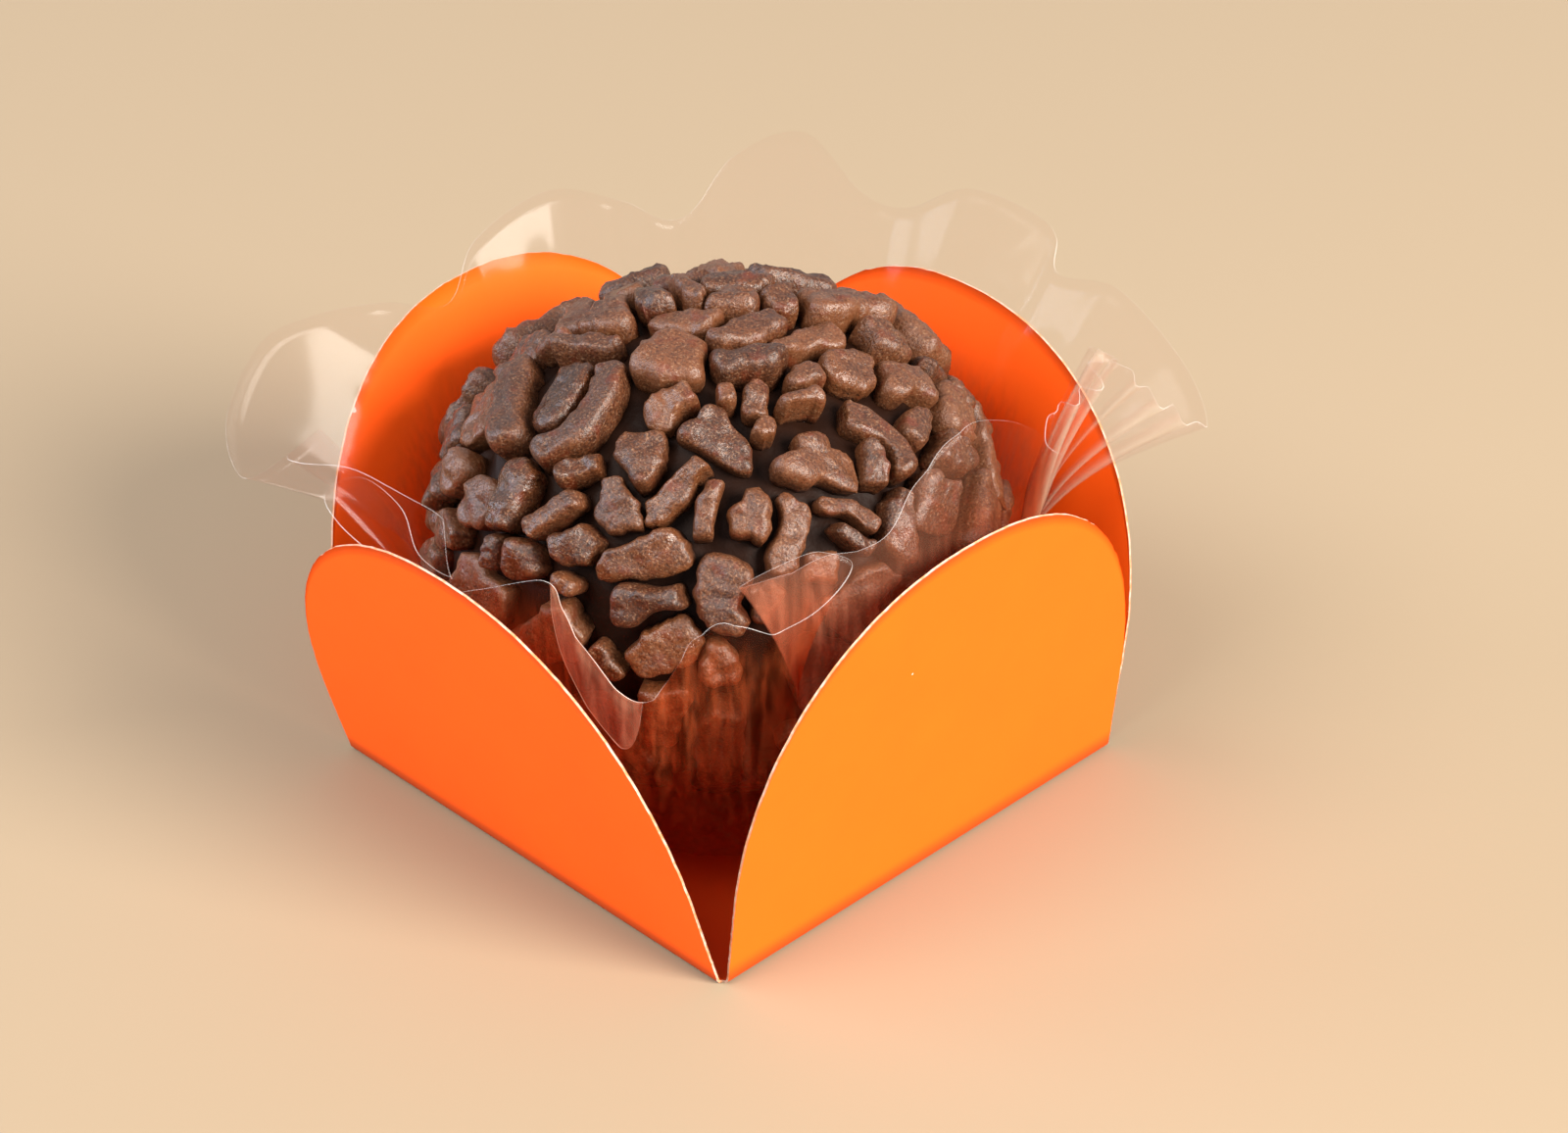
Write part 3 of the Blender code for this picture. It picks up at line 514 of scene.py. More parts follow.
def cardColumns():
    # the same places along every fold: sgn(cos t) |cos t| ^ (2 / n), and the petal's height there
    t = np.linspace(math.pi, 0, card["columns"] + 1)
    across = np.sign(np.cos(t)) * np.abs(np.cos(t)) ** (2 / card["roundness"])
    tall = card["straight"] + card["arch"] * np.abs(np.sin(t)) ** (2 / card["roundness"])
    return across * (card["side"] / 2 - card["notch"]) * mm, tall * mm


def petalSheet(outward, lean, bow):
    # middle surface of a petal: a quarter bend from the base, then a straight climb with a quadratic bow
    across, tall = cardColumns()
    slope = math.radians(lean)
    start = (card["side"] / 2 - card["notch"]) * mm
    radius = (card["notch"] - card["thick"] / 2) * mm
    turn = np.linspace(0, math.pi / 2 - slope, card["foldRows"] + 1)
    bendOut, bendUp = start + radius * np.sin(turn), card["thick"] / 2 * mm + radius * (1 - np.cos(turn))
    climb = np.linspace(0, 1, card["rows"] + 1)[1:]
    rise = (tall - radius * (math.pi / 2 - slope))[:, None] * climb
    bowed = bow * mm * (rise / ((card["straight"] + card["arch"]) * mm)) ** 2
    far = np.concatenate([np.repeat(bendOut[None], len(across), axis=0),
                          bendOut[-1] + rise * math.sin(slope) + bowed], axis=1)
    high = np.concatenate([np.repeat(bendUp[None], len(across), axis=0),
                           bendUp[-1] + rise * math.cos(slope)], axis=1)
    out, side = np.array([*outward, 0.0]), np.array([-outward[1], outward[0], 0.0])
    return far[..., None] * out + across[:, None, None] * side + high[..., None] * np.array([0, 0, 1.0])


def makeCase():
    # base and petals as middle surfaces, half a thickness out to either side, with a rounded edge between
    half = card["thick"] / 2 * mm
    across = cardColumns()[0]
    n = len(across)
    base = np.stack([*np.meshgrid(across, across, indexing="ij"), np.full((n, n), half)], axis=-1)
    baseIndex = np.arange(n * n).reshape(n, n)
    folds = {(1, 0): baseIndex[-1], (0, 1): baseIndex[::-1, -1], (-1, 0): baseIndex[0, ::-1],
             (0, -1): baseIndex[:, 0]}
    middles, outwards = [base.reshape(-1, 3)], [np.tile([0, 0, -1.0], (n * n, 1))]
    sheets, rims, faces, kinds = [baseIndex], [], [], []
    count = n * n
    for outward, lean, bow in sorted(card["petals"], key=lambda petal: math.atan2(*petal[0][::-1])):
        sheet = petalSheet(outward, lean, bow)
        facing = unit(np.cross(np.gradient(sheet, axis=0), np.gradient(sheet, axis=1)))
        facing = facing * np.sign((facing @ np.array([*outward, 0.0])).sum())
        new = count + np.arange(n * (sheet.shape[1] - 1)).reshape(n, -1)
        index = np.concatenate([folds[outward][:, None], new], axis=1)
        count += new.size
        middles.append(sheet[:, 1:].reshape(-1, 3))
        outwards.append(facing[:, 1:].reshape(-1, 3))
        sheets.append(index)
        rims += [index[0, :], index[1:, -1], index[-1, ::-1][1:]]
    middle, outer, rim = np.concatenate(middles), np.concatenate(outwards), np.concatenate(rims)
    rim = rim[rim != np.roll(rim, 1)]
    edgeWay = unit(np.cross(middle[np.roll(rim, -1)] - middle[np.roll(rim, 1)], outer[rim]))
    fluff = ripples(middle[rim], card["fluff"])[:, None] * mm
    outside, inside = middle + outer * half, middle - outer * half
    outside[rim] += edgeWay * fluff * card["faceFluff"]
    inside[rim] += edgeWay * fluff * card["faceFluff"]
    lip = middle[rim] + edgeWay * (card["lip"] * mm + fluff)
    m = len(middle)
    for sheet in sheets:
        quad = quadsOver(sheet)
        outQuad = quad[:, ::-1] if sheet is baseIndex else quad
        faces += [outQuad, outQuad[:, ::-1] + m]
        kinds += [np.zeros(len(quad) * 2)]
    lipIndex = 2 * m + np.arange(len(rim))
    faces += [band(rim, lipIndex), band(lipIndex, rim + m)]
    kinds += [np.ones(len(rim) * 2)]
    return makeMesh("petal_case", np.concatenate([outside, inside, lip]), np.concatenate(faces),
                    materialIndex=np.concatenate(kinds))


film = {
    "thick": 0.06,  # mm
    "offBall": 0.12, "offCard": 0.16,  # mm, kept clear
    "lowest": 2.2,  # mm, height above which it is kept off the ball
    "corner": 1.2,  # mm past the base's side over which a petal lets go of it
    "overCard": 0.7, "archMargin": 1.0,  # lean allowed above a petal, and where it starts, in mm
    # radius and height up the cup, in mm
    "cup": ((0.0, 0.75), (6.0, 0.75), (11.0, 0.75), (13.4, 2.3), (15.5, 6.2), (17.2, 11.2)),
    # the rim, anticlockwise from its low front valley, in mm: across the picture, away from its eye, and
    # height
    "rim": (
        (-4.8, -17.9, 16.0), (-3.1, -18.2, 17.2), (-1.7, -18.8, 20.4), (0.2, -19.2, 22.0),
        (3.0, -18.9, 21.2), (5.9, -17.7, 22.8), (6.9, -16.7, 24.2), (4.4, -17.0, 24.9),
        (1.0, -17.2, 23.0), (2.6, -16.2, 22.8), (5.6, -16.1, 24.0), (8.6, -15.4, 24.8),
        (10.4, -13.6, 27.1), (12.7, -11.2, 28.8), (15.1, -8.7, 27.9), (17.2, -6.4, 25.7),
        (18.9, -4.4, 22.9), (17.9, -3.0, 22.8), (18.3, -0.6, 23.3), (20.8, 0.7, 24.0),
        (21.2, 3.6, 24.8), (22.6, 1.8, 24.6), (24.6, 0.9, 23.0), (27.3, 1.2, 21.2), (26.3, 4.4, 23.2),
        (22.6, 7.6, 26.4), (19.4, 10.6, 25.7), (19.0, 13.6, 27.2), (14.6, 16.2, 28.2),
        (11.0, 18.6, 25.6), (8.2, 20.2, 25.8), (4.8, 22.4, 28.7), (0.6, 21.6, 27.6), (-2.6, 19.4, 24.6),
        (-6.0, 19.8, 25.6), (-10.4, 19.4, 26.6), (-14.6, 16.2, 25.2), (-16.2, 12.8, 22.8),
        (-19.6, 10.0, 24.6), (-23.6, 8.6, 24.6), (-26.6, 6.8, 23.8), (-28.4, 3.4, 20.8),
        (-27.4, 0.8, 18.6), (-25.0, 2.8, 18.8), (-23.2, 4.2, 19.7), (-24.8, 1.8, 19.5),
        (-24.1, 0.4, 19.8), (-21.0, -1.6, 20.7), (-17.8, -4.4, 20.7), (-15.5, -6.2, 20.2),
        (-14.1, -7.6, 18.3), (-15.0, -8.6, 18.0), (-16.8, -7.9, 19.0), (-17.8, -6.0, 20.8),
        (-20.0, -4.9, 22.2), (-22.0, -5.6, 21.7), (-21.2, -7.6, 21.0), (-18.8, -9.9, 20.1),
        (-16.2, -12.6, 19.6), (-13.2, -14.2, 20.9), (-9.4, -16.5, 23.1), (-8.5, -17.0, 21.4),
        (-7.0, -17.4, 18.5),
    ),
    "rimSteps": 12, "cupRows": 22, "ruffleRows": 20,
    "spread": 4.5,  # rim points over which the columns' directions are evened out
    "leaves": 0.5, "halfway": 0.5,  # mm the ruffle swings out at first; share of its climb done there
    # pleats: mm; how much finer creases and what share they add; how they come and go along the film
    "pleat": 0.1, "creases": ((2.0, 0.16, 51), (0.3, 0.08, 52)), "sway": (0.5, 9.0, 53),
    "smooth": (35.5, 58.5), "calmed": 0.85,  # rim points between which it has hardly any; share taken off
    # the gathered stretch: rim points, those outside and inside it over which it fades, mm high, rim
    # points from one gather to the next, how uneven they are, and share of the ruffle where they begin
    "bunch": (18.4, 22.6), "bunchEase": (0.7, 0.3), "gather": 0.6, "pitch": 0.56,
    "uneven": (1.1, 0.09, 54), "gatherFrom": 0.45,
    "crimped": (0.1, 0.9),  # how far up a gather the film turns whitish, from and to
    "veiled": (7.0, 13.0), "veil": 0.27,  # rim points of the arch over which the film is made hazy, and how much
    # a strip of the rim turned down outwards: where along the rim, mm deep, mm deep at its ends, how
    # lopsided, mm it stands off, and the share of its depth over which it does so
    "flap": (60.3, 63.3), "flapDeep": 5.3, "flapEnds": 0.08, "flapSkew": 1.08, "flapGap": 0.15,
    "flapLeaves": 0.25, "flapRows": 18, "flapHaze": 0.45,
    "touches": (0.4, 3.0),  # mm off the flakes, where the film is smeared and where it is clean
    "clean": (43.5, 58.5), "cleanFrom": (-6, 6),  # rim points and rows where it becomes clean anyway
    "lowShadeFade": (6.0, 12.0), "lowShadeMost": 0.8,  # mm, heights between which painted shade low in the cup fades, darkening the floor seen through it; its share
}


def closedSpline(points, steps):
    # Catmull-Rom through every point, round and back to the first
    p0, p1, p2, p3 = (np.roll(points, n, axis=0)[:, None] for n in (1, 0, -1, -2))
    t = (np.arange(steps) / steps)[None, :, None]
    curve = 0.5 * (2 * p1 + (p2 - p0) * t + (2 * p0 - 5 * p1 + 4 * p2 - p3) * t**2
                   + (3 * p1 - p0 - 3 * p2 + p3) * t**3)
    return curve.reshape(-1, points.shape[1])


def keptOff(points):
    # moved level, out from the ball and then in from the petals, to where the film clears both
    level = points - ballCentre * np.array([1, 1, 0])
    level[..., 2] = 0
    clear = ballHalf + flakeHeight + (film["offBall"] + film["thick"] / 2) * mm
    rise = (points[..., 2] - ballCentre[2]) / clear[2]
    least = clear[0] * np.sqrt(np.clip(1 - rise**2, 0, 1)) * (points[..., 2] > film["lowest"] * mm)
    reach = np.maximum(np.linalg.norm(level, axis=-1), 1e-6)
    points = points + level * (np.maximum(least / reach, 1) - 1)[..., None]
    tallest = (card["straight"] + card["arch"]) * mm
    side = card["side"] / 2 * mm
    for outward, lean, bow in card["petals"]:
        out = np.array([*outward, 0.0])
        along = np.abs(points @ np.array([-outward[1], outward[0], 0.0]))
        height = points[..., 2] - card["thick"] / 2 * mm
        slope = math.radians(lean)
        wall = side - card["thick"] / 2 * mm + height * math.tan(slope)
        wall += bow * mm * (height / tallest) ** 2
        wall -= (card["thick"] / 2 + film["thick"] / 2 + film["offCard"]) * mm
        arch = 1 - np.clip(along / side, 0, 1) ** card["roundness"]
        top = (card["straight"] + card["arch"] * arch ** (1 / card["roundness"])) * mm
        wall += film["overCard"] * np.maximum(height - top * math.cos(slope) - film["archMargin"] * mm, 0)
        held = 1 - smoothstep(side, side + film["corner"] * mm, along)
        points = points - (np.maximum(points @ out - wall, 0) * held)[..., None] * out
    return points


def between(window, number, before=1.0, after=1.0):
    # 1 between the window's two rim points, easing to 0 at both
    first, last = window
    return (smoothstep(first - before, first + after, number)
            * (1 - smoothstep(last - after, last + before, number)))


def cupAndRuffle():
    # columns round the rim; each climbs the cup's profile, then a quadratic Bezier from cup to rim
    turn = math.radians(picture["azimuth"])
    level, away = np.array([math.cos(turn), math.sin(turn)]), np.array([-math.sin(turn), math.cos(turn)])
    across, back, height = np.array(film["rim"]).T[..., None]
    rim = closedSpline(np.hstack([across * level + back * away, height]) * mm, film["rimSteps"])
    # the columns' own directions never turn back, as the rim does, and are evened out
    azimuth = np.unwrap(np.arctan2(rim[:, 1] - ballCentre[1], rim[:, 0] - ballCentre[0]))
    thrice = np.concatenate([azimuth - 2 * np.pi, azimuth, azimuth + 2 * np.pi])
    ordered = (np.maximum.accumulate(thrice) + np.minimum.accumulate(thrice[::-1])[::-1]) / 2
    window = int(film["rimSteps"] * film["spread"]) | 1
    evened = np.convolve(ordered, np.ones(window) / window, mode="same")[len(azimuth): 2 * len(azimuth)]
    out = np.stack([np.cos(evened), np.sin(evened), np.zeros(len(evened))], axis=-1)
    cup = np.array(film["cup"])
    length = np.concatenate([[0], np.cumsum(np.linalg.norm(np.diff(cup, axis=0), axis=1))])
    at = np.linspace(0, length[-1], film["cupRows"] + 1)[1:]
    radius, height = np.interp(at, length, cup[:, 0]) * mm, np.interp(at, length, cup[:, 1]) * mm
    up = np.array([0, 0, 1.0])
    climbing = (ballCentre * np.array([1, 1, 0]) + out[:, None] * radius[None, :, None]
                + height[None, :, None] * up)
    foot = climbing[:, -1:]
    bend = (foot + out[:, None] * film["leaves"] * mm
            + (rim[:, None, 2:] - foot[..., 2:]) * film["halfway"] * up)
    t = np.linspace(0, 1, film["ruffleRows"] + 1)[1:][None, :, None]
    ruffle = (1 - t) ** 2 * foot + 2 * t * (1 - t) * bend + t**2 * rim[:, None]
    return np.concatenate([climbing, ruffle], axis=1)


def facings(sheet):
    # unit normals of a sheet that closes round its first axis: d/du x d/dv
    around = np.roll(sheet, -1, axis=0) - np.roll(sheet, 1, axis=0)
    return unit(np.cross(around, np.gradient(sheet, axis=1)))


def filmSurface():
    # the sheet moved along its facing by pleat * (1 - a |ripple| + b fine ripple), and where it is
    # gathered by gather * sin(2 pi rim point / pitch + unevenness)
    sheet = cupAndRuffle()
    facing = facings(sheet)
    columns = len(sheet)
    number = np.arange(columns) / film["rimSteps"]
    turn = np.arange(columns) / columns * 2 * math.pi
    ring = np.stack([np.cos(turn), np.sin(turn), np.zeros(columns)], axis=-1)
    (sharp, *coarse), (share, *fine) = film["creases"]
    crease = 1 - sharp * np.abs(ripple(ring, *coarse)) + share * ripple(ring, *fine)
    grow = np.concatenate([np.linspace(0, 1, film["cupRows"]) ** 2, np.ones(film["ruffleRows"])])
    sway = ripples(sheet, [film["sway"]]) + 1.0
    pleat = film["pleat"] * mm * (1 - film["calmed"] * between(film["smooth"], number))
    sheet = sheet + facing * ((pleat * crease)[:, None] * grow[None] * sway)[..., None]
    there = between(film["bunch"], number, *film["bunchEase"])
    amount, *wave = film["uneven"]
    gathers = np.sin(number / film["pitch"] * 2 * math.pi + amount * ripple(ring, *wave)) * there
    rise = smoothstep(0, film["gatherFrom"], np.linspace(0, 1, film["ruffleRows"]))
    rise = np.concatenate([np.zeros(film["cupRows"]), rise])
    crimp = gathers[:, None] * rise[None]
    sheet = sheet + facing * (crimp * film["gather"] * mm)[..., None]
    veil = film["veil"] * between(film["veiled"], number)[:, None] * rise[None]
    return keptOff(sheet), np.maximum(smoothstep(*film["crimped"], crimp), veil)


def turnedDown(middle, facing):
    # place(u, t) = film at an arc depth * t under the rim, + facing * gap * smoothstep(t),
    # depth = deepest * sin(pi u^k)^0.5
    steps = film["rimSteps"]
    pick = np.arange(int(film["flap"][0] * steps), int(film["flap"][1] * steps) + 1) % len(middle)
    strip, out = middle[pick], facing[pick]
    u, t = np.linspace(0, 1, len(pick)), np.linspace(0, 1, film["flapRows"])
    deep = (film["flapDeep"] * np.sin(math.pi * u ** film["flapSkew"]) ** 0.5 + film["flapEnds"]) * mm
    measured = 8  # rows under the rim that tell how long a row is
    rowLength = np.linalg.norm(strip[:, -1] - strip[:, -1 - measured], axis=-1) / measured
    last = strip.shape[1] - 1
    row = np.maximum(last - deep[:, None] * t / rowLength[:, None], 0)
    low = np.minimum(row.astype(int), last - 1)
    part = (row - low)[..., None]
    at = np.arange(len(pick))[:, None]
    place = strip[at, low] * (1 - part) + strip[at, low + 1] * part
    off = film["flapGap"] * mm * smoothstep(0, film["flapLeaves"], t)
    return place + out[at, low] * off[None, :, None], out[at, low]


def smearAndShadeOf(middle):
    # 1 - smoothstep(distance off the flakes) for smears, less where the ruffle is clean, at least the
    # painted shade low in the cup
    columns, rows = middle.shape[:2]
    apart = (np.linalg.norm((middle - ballCentre) / (ballHalf + flakeHeight), axis=-1) - 1) * ballHalf[0]
    number, row = np.arange(columns)[:, None] / film["rimSteps"], np.arange(rows)[None] - film["cupRows"]
    smearAndShade = 1 - fade(film["touches"], apart)
    smearAndShade *= 1 - between(film["clean"], number) * smoothstep(*film["cleanFrom"], row)
    return np.maximum(smearAndShade, film["lowShadeMost"] * (1 - fade(film["lowShadeFade"], middle[..., 2])))


def makeFilm():
    middle, crimp = filmSurface()
    columns, rows = middle.shape[:2]
    facing = facings(middle)
    half = film["thick"] / 2 * mm
    smearAndShade = smearAndShadeOf(middle)
    floor = middle[:, 0].mean(axis=0)
    points = [middle + facing * half, middle - facing * half, floor - [0, 0, half], floor + [0, 0, half]]
    index = np.arange(columns * rows).reshape(columns, rows)
    after = np.roll(index, -1, axis=0)
    quad = quadsOver(np.concatenate([index, index[:1]]))
    m = columns * rows
    rim = np.stack([index[:, -1], after[:, -1], after[:, -1] + m, index[:, -1] + m], axis=-1)
    caps = [np.stack([np.full(columns, 2 * m), after[:, 0], index[:, 0]], axis=-1),
            np.stack([np.full(columns, 2 * m + 1), index[:, 0] + m, after[:, 0] + m], axis=-1)]
    # the turned-down strip: both faces and the edge all round
    flap, away = turnedDown(middle, facing)
    place = 2 * m + 2 + np.arange(flap[..., 0].size).reshape(flap.shape[:2])
    n = place.size
    points += [flap + away * half, flap - away * half]
    points = np.concatenate([part.reshape(-1, 3) for part in points])
    sheet = quadsOver(place)
    loop = np.concatenate([place[:-1, 0], place[-1, :-1], place[:0:-1, -1], place[0, :0:-1]])
    ahead = np.roll(loop, -1)
    side = np.stack([loop, ahead, ahead + n, loop + n], axis=-1)
    quads = [quad, quad[:, ::-1] + m, rim, sheet[:, ::-1], sheet + n, side]
    kinds = [np.full(len(part), part is rim or part is side) for part in quads] + [np.zeros(2 * columns)]
    hazes = [np.tile(crimp.ravel(), 2), [0, 0], np.full(2 * n, film["flapHaze"])]
    return makeMesh("clear_film", points, np.concatenate(quads), np.concatenate(caps),
                    materialIndex=np.concatenate(kinds),
                    attributes={"smearAndShade": np.concatenate([np.tile(smearAndShade.ravel(), 2), np.ones(2 + 2 * n)]),
                                "crimp": np.concatenate(hazes)})


flakeLook = {
    "tones": ((0.1, "#1e0c05"), (0.5, "#371b0c"), (0.95, "#57321c")),  # where on the scale, and the brown
    # the pits' near-black is painted shade in the hollows
    "warm": "#501b07", "pit": "#0e0402", "speck": "#8b6a50",
    # how much each counts in the tone, and how much darker the sum is made
    "byFlake": 0.5, "byCloud": 0.5, "byGrain": 1.7, "darker": 0.72,
    "shoulderLight": 0.16, "shoulder": (0.6, 0.95),  # how much paler the shoulders are painted as highlight, and where they lie
    "specked": (0.58, 0.74), "speckMost": 0.42,  # crumb noise at which pale specks begin and are full: sugar grains, partly painted glints
    "warmed": (0.56, 0.72), "warmMost": 0.6,
    "hollow": (0.08, 0.22), "pitMost": 0.2,  # how wide a pit is, in pit spacings; and how far it is darkened, painted shade in the hollow
    "roughness": (0.43, 0.18), "specular": 0.4,  # dull, and where a flake was rubbed smooth
    "rubbedFrom": (0.4, 0.6),  # cloud noise at which that begins and is full
    "cloud": 1.6, "grain": 0.16, "pits": 0.6, "crumbs": 0.14, "crags": 0.5, "warmth": 1.1,  # mm
    "bump": 0.8, "relief": 0.07, "byCrags": 1.6, "byPits": -0.3,  # mm; crags and pits beside grain in it
}


def chocolateFlakes():
    # milk chocolate, broken up and tumbled: dull brown, sandy, with small pits whose darkness is painted
    # shade, glossier where rubbed, and shoulders painted paler as highlight
    look = flakeLook
    material, add = newMaterial("milk chocolate flakes, broken and tumbled")
    place = add("TexCoord").outputs["Object"]
    tone, edge, gloss = (add("Attribute", attribute_name=name).outputs["Fac"]
                         for name in ("tone", "edge", "gloss"))
    cloud, grain, crumbs, crags, warmth = (
        add("TexNoise", {"Scale": 1000 / look[name], "Detail": detail, "Roughness": rough},
            {"Vector": place})
        for name, detail, rough in (("cloud", 3.0, 0.5), ("grain", 3.0, 0.6), ("crumbs", 1.0, 0.5),
                                    ("crags", 2.0, 0.5), ("warmth", 2.0, 0.5)))
    pits = add("TexVoronoi", {"Scale": 1000 / look["pits"]}, {"Vector": place})
    near, far = look["hollow"]
    hollow = add("MapRange", {1: near, 2: far, 3: 1.0, 4: 0.0}, {0: pits},
                 interpolation_type="SMOOTHSTEP")
    # tone: part from the flake, the rest from broad clouds, grain and shoulders painted paler as
    # highlight
    total = add("Math", {1: look["byFlake"], 2: -look["darker"]}, {0: tone}, operation="MULTIPLY_ADD")
    for source, share in ((cloud, look["byCloud"]), (grain, look["byGrain"])):
        total = add("Math", {1: share}, {0: source, 2: total}, operation="MULTIPLY_ADD")
    first, last = look["shoulder"]
    shoulderLight = add("MapRange", {1: first, 2: last, 3: 0.0, 4: look["shoulderLight"]}, {0: edge})
    total = add("Math", None, {0: total, 1: shoulderLight}, operation="ADD", use_clamp=True)
    ramp = add("ValToRGB", None, {"Fac": total})
    dark, light = ramp.color_ramp.elements
    (low, deep), (middle, mid), (high, pale) = look["tones"]
    dark.position, dark.color = low, fromHex(deep)
    light.position, light.color = high, fromHex(pale)
    ramp.color_ramp.elements.new(middle).color = fromHex(mid)
    # warm patches, then pale specks, then pits darkened as painted shade over it
    colour = ramp
    for source, (low, high), most, name in ((warmth, look["warmed"], look["warmMost"], "warm"),
                                            (crumbs, look["specked"], look["speckMost"], "speck"),
                                            (hollow, (0.0, 1.0), look["pitMost"], "pit")):
        share = add("MapRange", {1: low, 2: high, 4: most}, {0: source})
        colour = add("Mix", {7: fromHex(look[name])}, {0: share, 6: colour}, data_type="RGBA")
    dull, rubbed = look["roughness"]
    low, high = look["rubbedFrom"]
    smear = add("MapRange", {1: low, 2: high}, {0: cloud})
    polish = add("Math", None, {0: gloss, 1: smear}, operation="MULTIPLY")
    rough = add("MapRange", {3: dull, 4: rubbed}, {0: polish})
    # relief: grain and crags stand up, pits go down
    rise = grain
    for source, share in ((crags, look["byCrags"]), (hollow, look["byPits"])):
        rise = add("Math", {1: share}, {0: source, 2: rise}, operation="MULTIPLY_ADD")
    bump = add("Bump", {"Strength": look["bump"], "Distance": look["relief"] * mm}, {"Height": rise})
    shader = add("BsdfPrincipled", {"Specular IOR Level": look["specular"]},
                 {"Base Color": colour, "Roughness": rough, "Normal": bump})
    add("OutputMaterial", None, {"Surface": shader})
    return material


fudgeLook = {
    "deep": "#0e0503", "pale": "#221109", "roughness": 0.5, "specular": 0.06, "bump": 0.7,
    "cloud": 2.5, "grain": 0.35, "relief": 0.05,  # mm
}


def cookedFudge():
    # condensed milk and cocoa cooked to a paste and rolled by hand: nearly black, with soft sticky lights
    look = fudgeLook
    material, add = newMaterial("cocoa fudge, cooked and rolled by hand")
    place = add("TexCoord").outputs["Object"]
    cloud = add("TexNoise", {"Scale": 1000 / look["cloud"], "Detail": 4.0}, {"Vector": place})
    grain = add("TexNoise", {"Scale": 1000 / look["grain"], "Detail": 3.0}, {"Vector": place})
    colour = add("Mix", {6: fromHex(look["deep"]), 7: fromHex(look["pale"])}, {0: cloud},
                 data_type="RGBA")
    bump = add("Bump", {"Strength": look["bump"], "Distance": look["relief"] * mm}, {"Height": grain})
    shader = add("BsdfPrincipled",
                 {"Roughness": look["roughness"], "Specular IOR Level": look["specular"]},
                 {"Base Color": colour, "Normal": bump})
    add("OutputMaterial", None, {"Surface": shader})
    return material


cardLook = {
    "dye": "#f55a03", "deep": "#f05302", "roughness": 0.75, "specular": 0.2, "bump": 0.5,
    "tooth": 0.11, "cloud": 6.0, "relief": 0.012,  # mm
    "paintedFloorShade": "#b03c04", "paintedFloorShadeTo": (0.3, 1.6),  # painted shade on the case's floor, and mm up over which it fades
    # mm, where a fleck of the dyed face is gone, and its radius
    "bare": "#c4b2a8",
    "chips": (((18.17, -3.38, 15.86), 0.09), ((-20.1, -10.6, 19.2), 0.3), ((15.9, 17.4, 6.5), 0.22),
              ((15.7, -15.9, 0.3), 0.25)),
    "ragged": 0.5, "chipEdge": 1.25,  # radii that the tooth adds, and where a chip then ends
    "core": "#b89c8e", "coreDyed": "#b9794c", "coreRough": 0.85,  # the cut edge
    "fibre": 0.4, "bareFibre": (0.35, 0.65),  # mm; noise between which fibres go from dyed to bare
}


def dyedCard():
    # orange card, dyed through and rolled: matte and even, with a fine tooth that softens its highlights
    look = cardLook
    material, add = newMaterial("orange card, dyed and rolled smooth")
    place = add("TexCoord").outputs["Object"]
    cloud = add("TexNoise", {"Scale": 1000 / look["cloud"], "Detail": 5.0, "Roughness": 0.6},
                {"Vector": place})
    tooth = add("TexNoise", {"Scale": 1000 / look["tooth"], "Detail": 2.0}, {"Vector": place})
    colour = add("Mix", {6: fromHex(look["deep"]), 7: fromHex(look["dye"])}, {0: cloud}, data_type="RGBA")
    # painted shade on the floor of the case, darkest at the floor and fading out a little way up
    height = add("SeparateXYZ", None, {"Vector": place}).outputs["Z"]
    low, high = look["paintedFloorShadeTo"]
    paintedFloorShade = add("MapRange", {1: low * mm, 2: high * mm, 3: 1.0, 4: 0.0}, {0: height},
                 interpolation_type="SMOOTHSTEP")
    colour = add("Mix", {7: fromHex(look["paintedFloorShade"])}, {0: paintedFloorShade, 6: colour}, data_type="RGBA")
    for spot, radius in look["chips"]:
        apart = add("VectorMath", {1: [x * mm for x in spot]}, {0: place}, operation="DISTANCE")
        uneven = add("Math", {1: look["ragged"] * radius * mm}, {0: tooth, 2: apart},
                     operation="MULTIPLY_ADD")
        bare = add("Math", {1: look["chipEdge"] * radius * mm}, {0: uneven}, operation="LESS_THAN")
        colour = add("Mix", {7: fromHex(look["bare"])}, {0: bare, 6: colour}, data_type="RGBA")
    bump = add("Bump", {"Strength": look["bump"], "Distance": look["relief"] * mm}, {"Height": tooth})
    shader = add("BsdfPrincipled",
                 {"Roughness": look["roughness"], "Specular IOR Level": look["specular"]},
                 {"Base Color": colour, "Normal": bump})
    add("OutputMaterial", None, {"Surface": shader})
    return material


def cutCardEdge():
    # where the die cut through the card: bare pale fibres, whitish beside the dyed faces
    material, add = newMaterial("card edge, die cut, pale fibres")
    place = add("TexCoord").outputs["Object"]
    fibre = add("TexNoise", {"Scale": 1000 / cardLook["fibre"], "Detail": 3.0}, {"Vector": place})
    dyed, bare = cardLook["bareFibre"]
    share = add("MapRange", {1: dyed, 2: bare}, {0: fibre})
    colour = add("Mix", {6: fromHex(cardLook["coreDyed"]), 7: fromHex(cardLook["core"])}, {0: share},
                 data_type="RGBA")
    shader = add("BsdfPrincipled", {"Roughness": cardLook["coreRough"]}, {"Base Color": colour})
    add("OutputMaterial", None, {"Surface": shader})
    return material


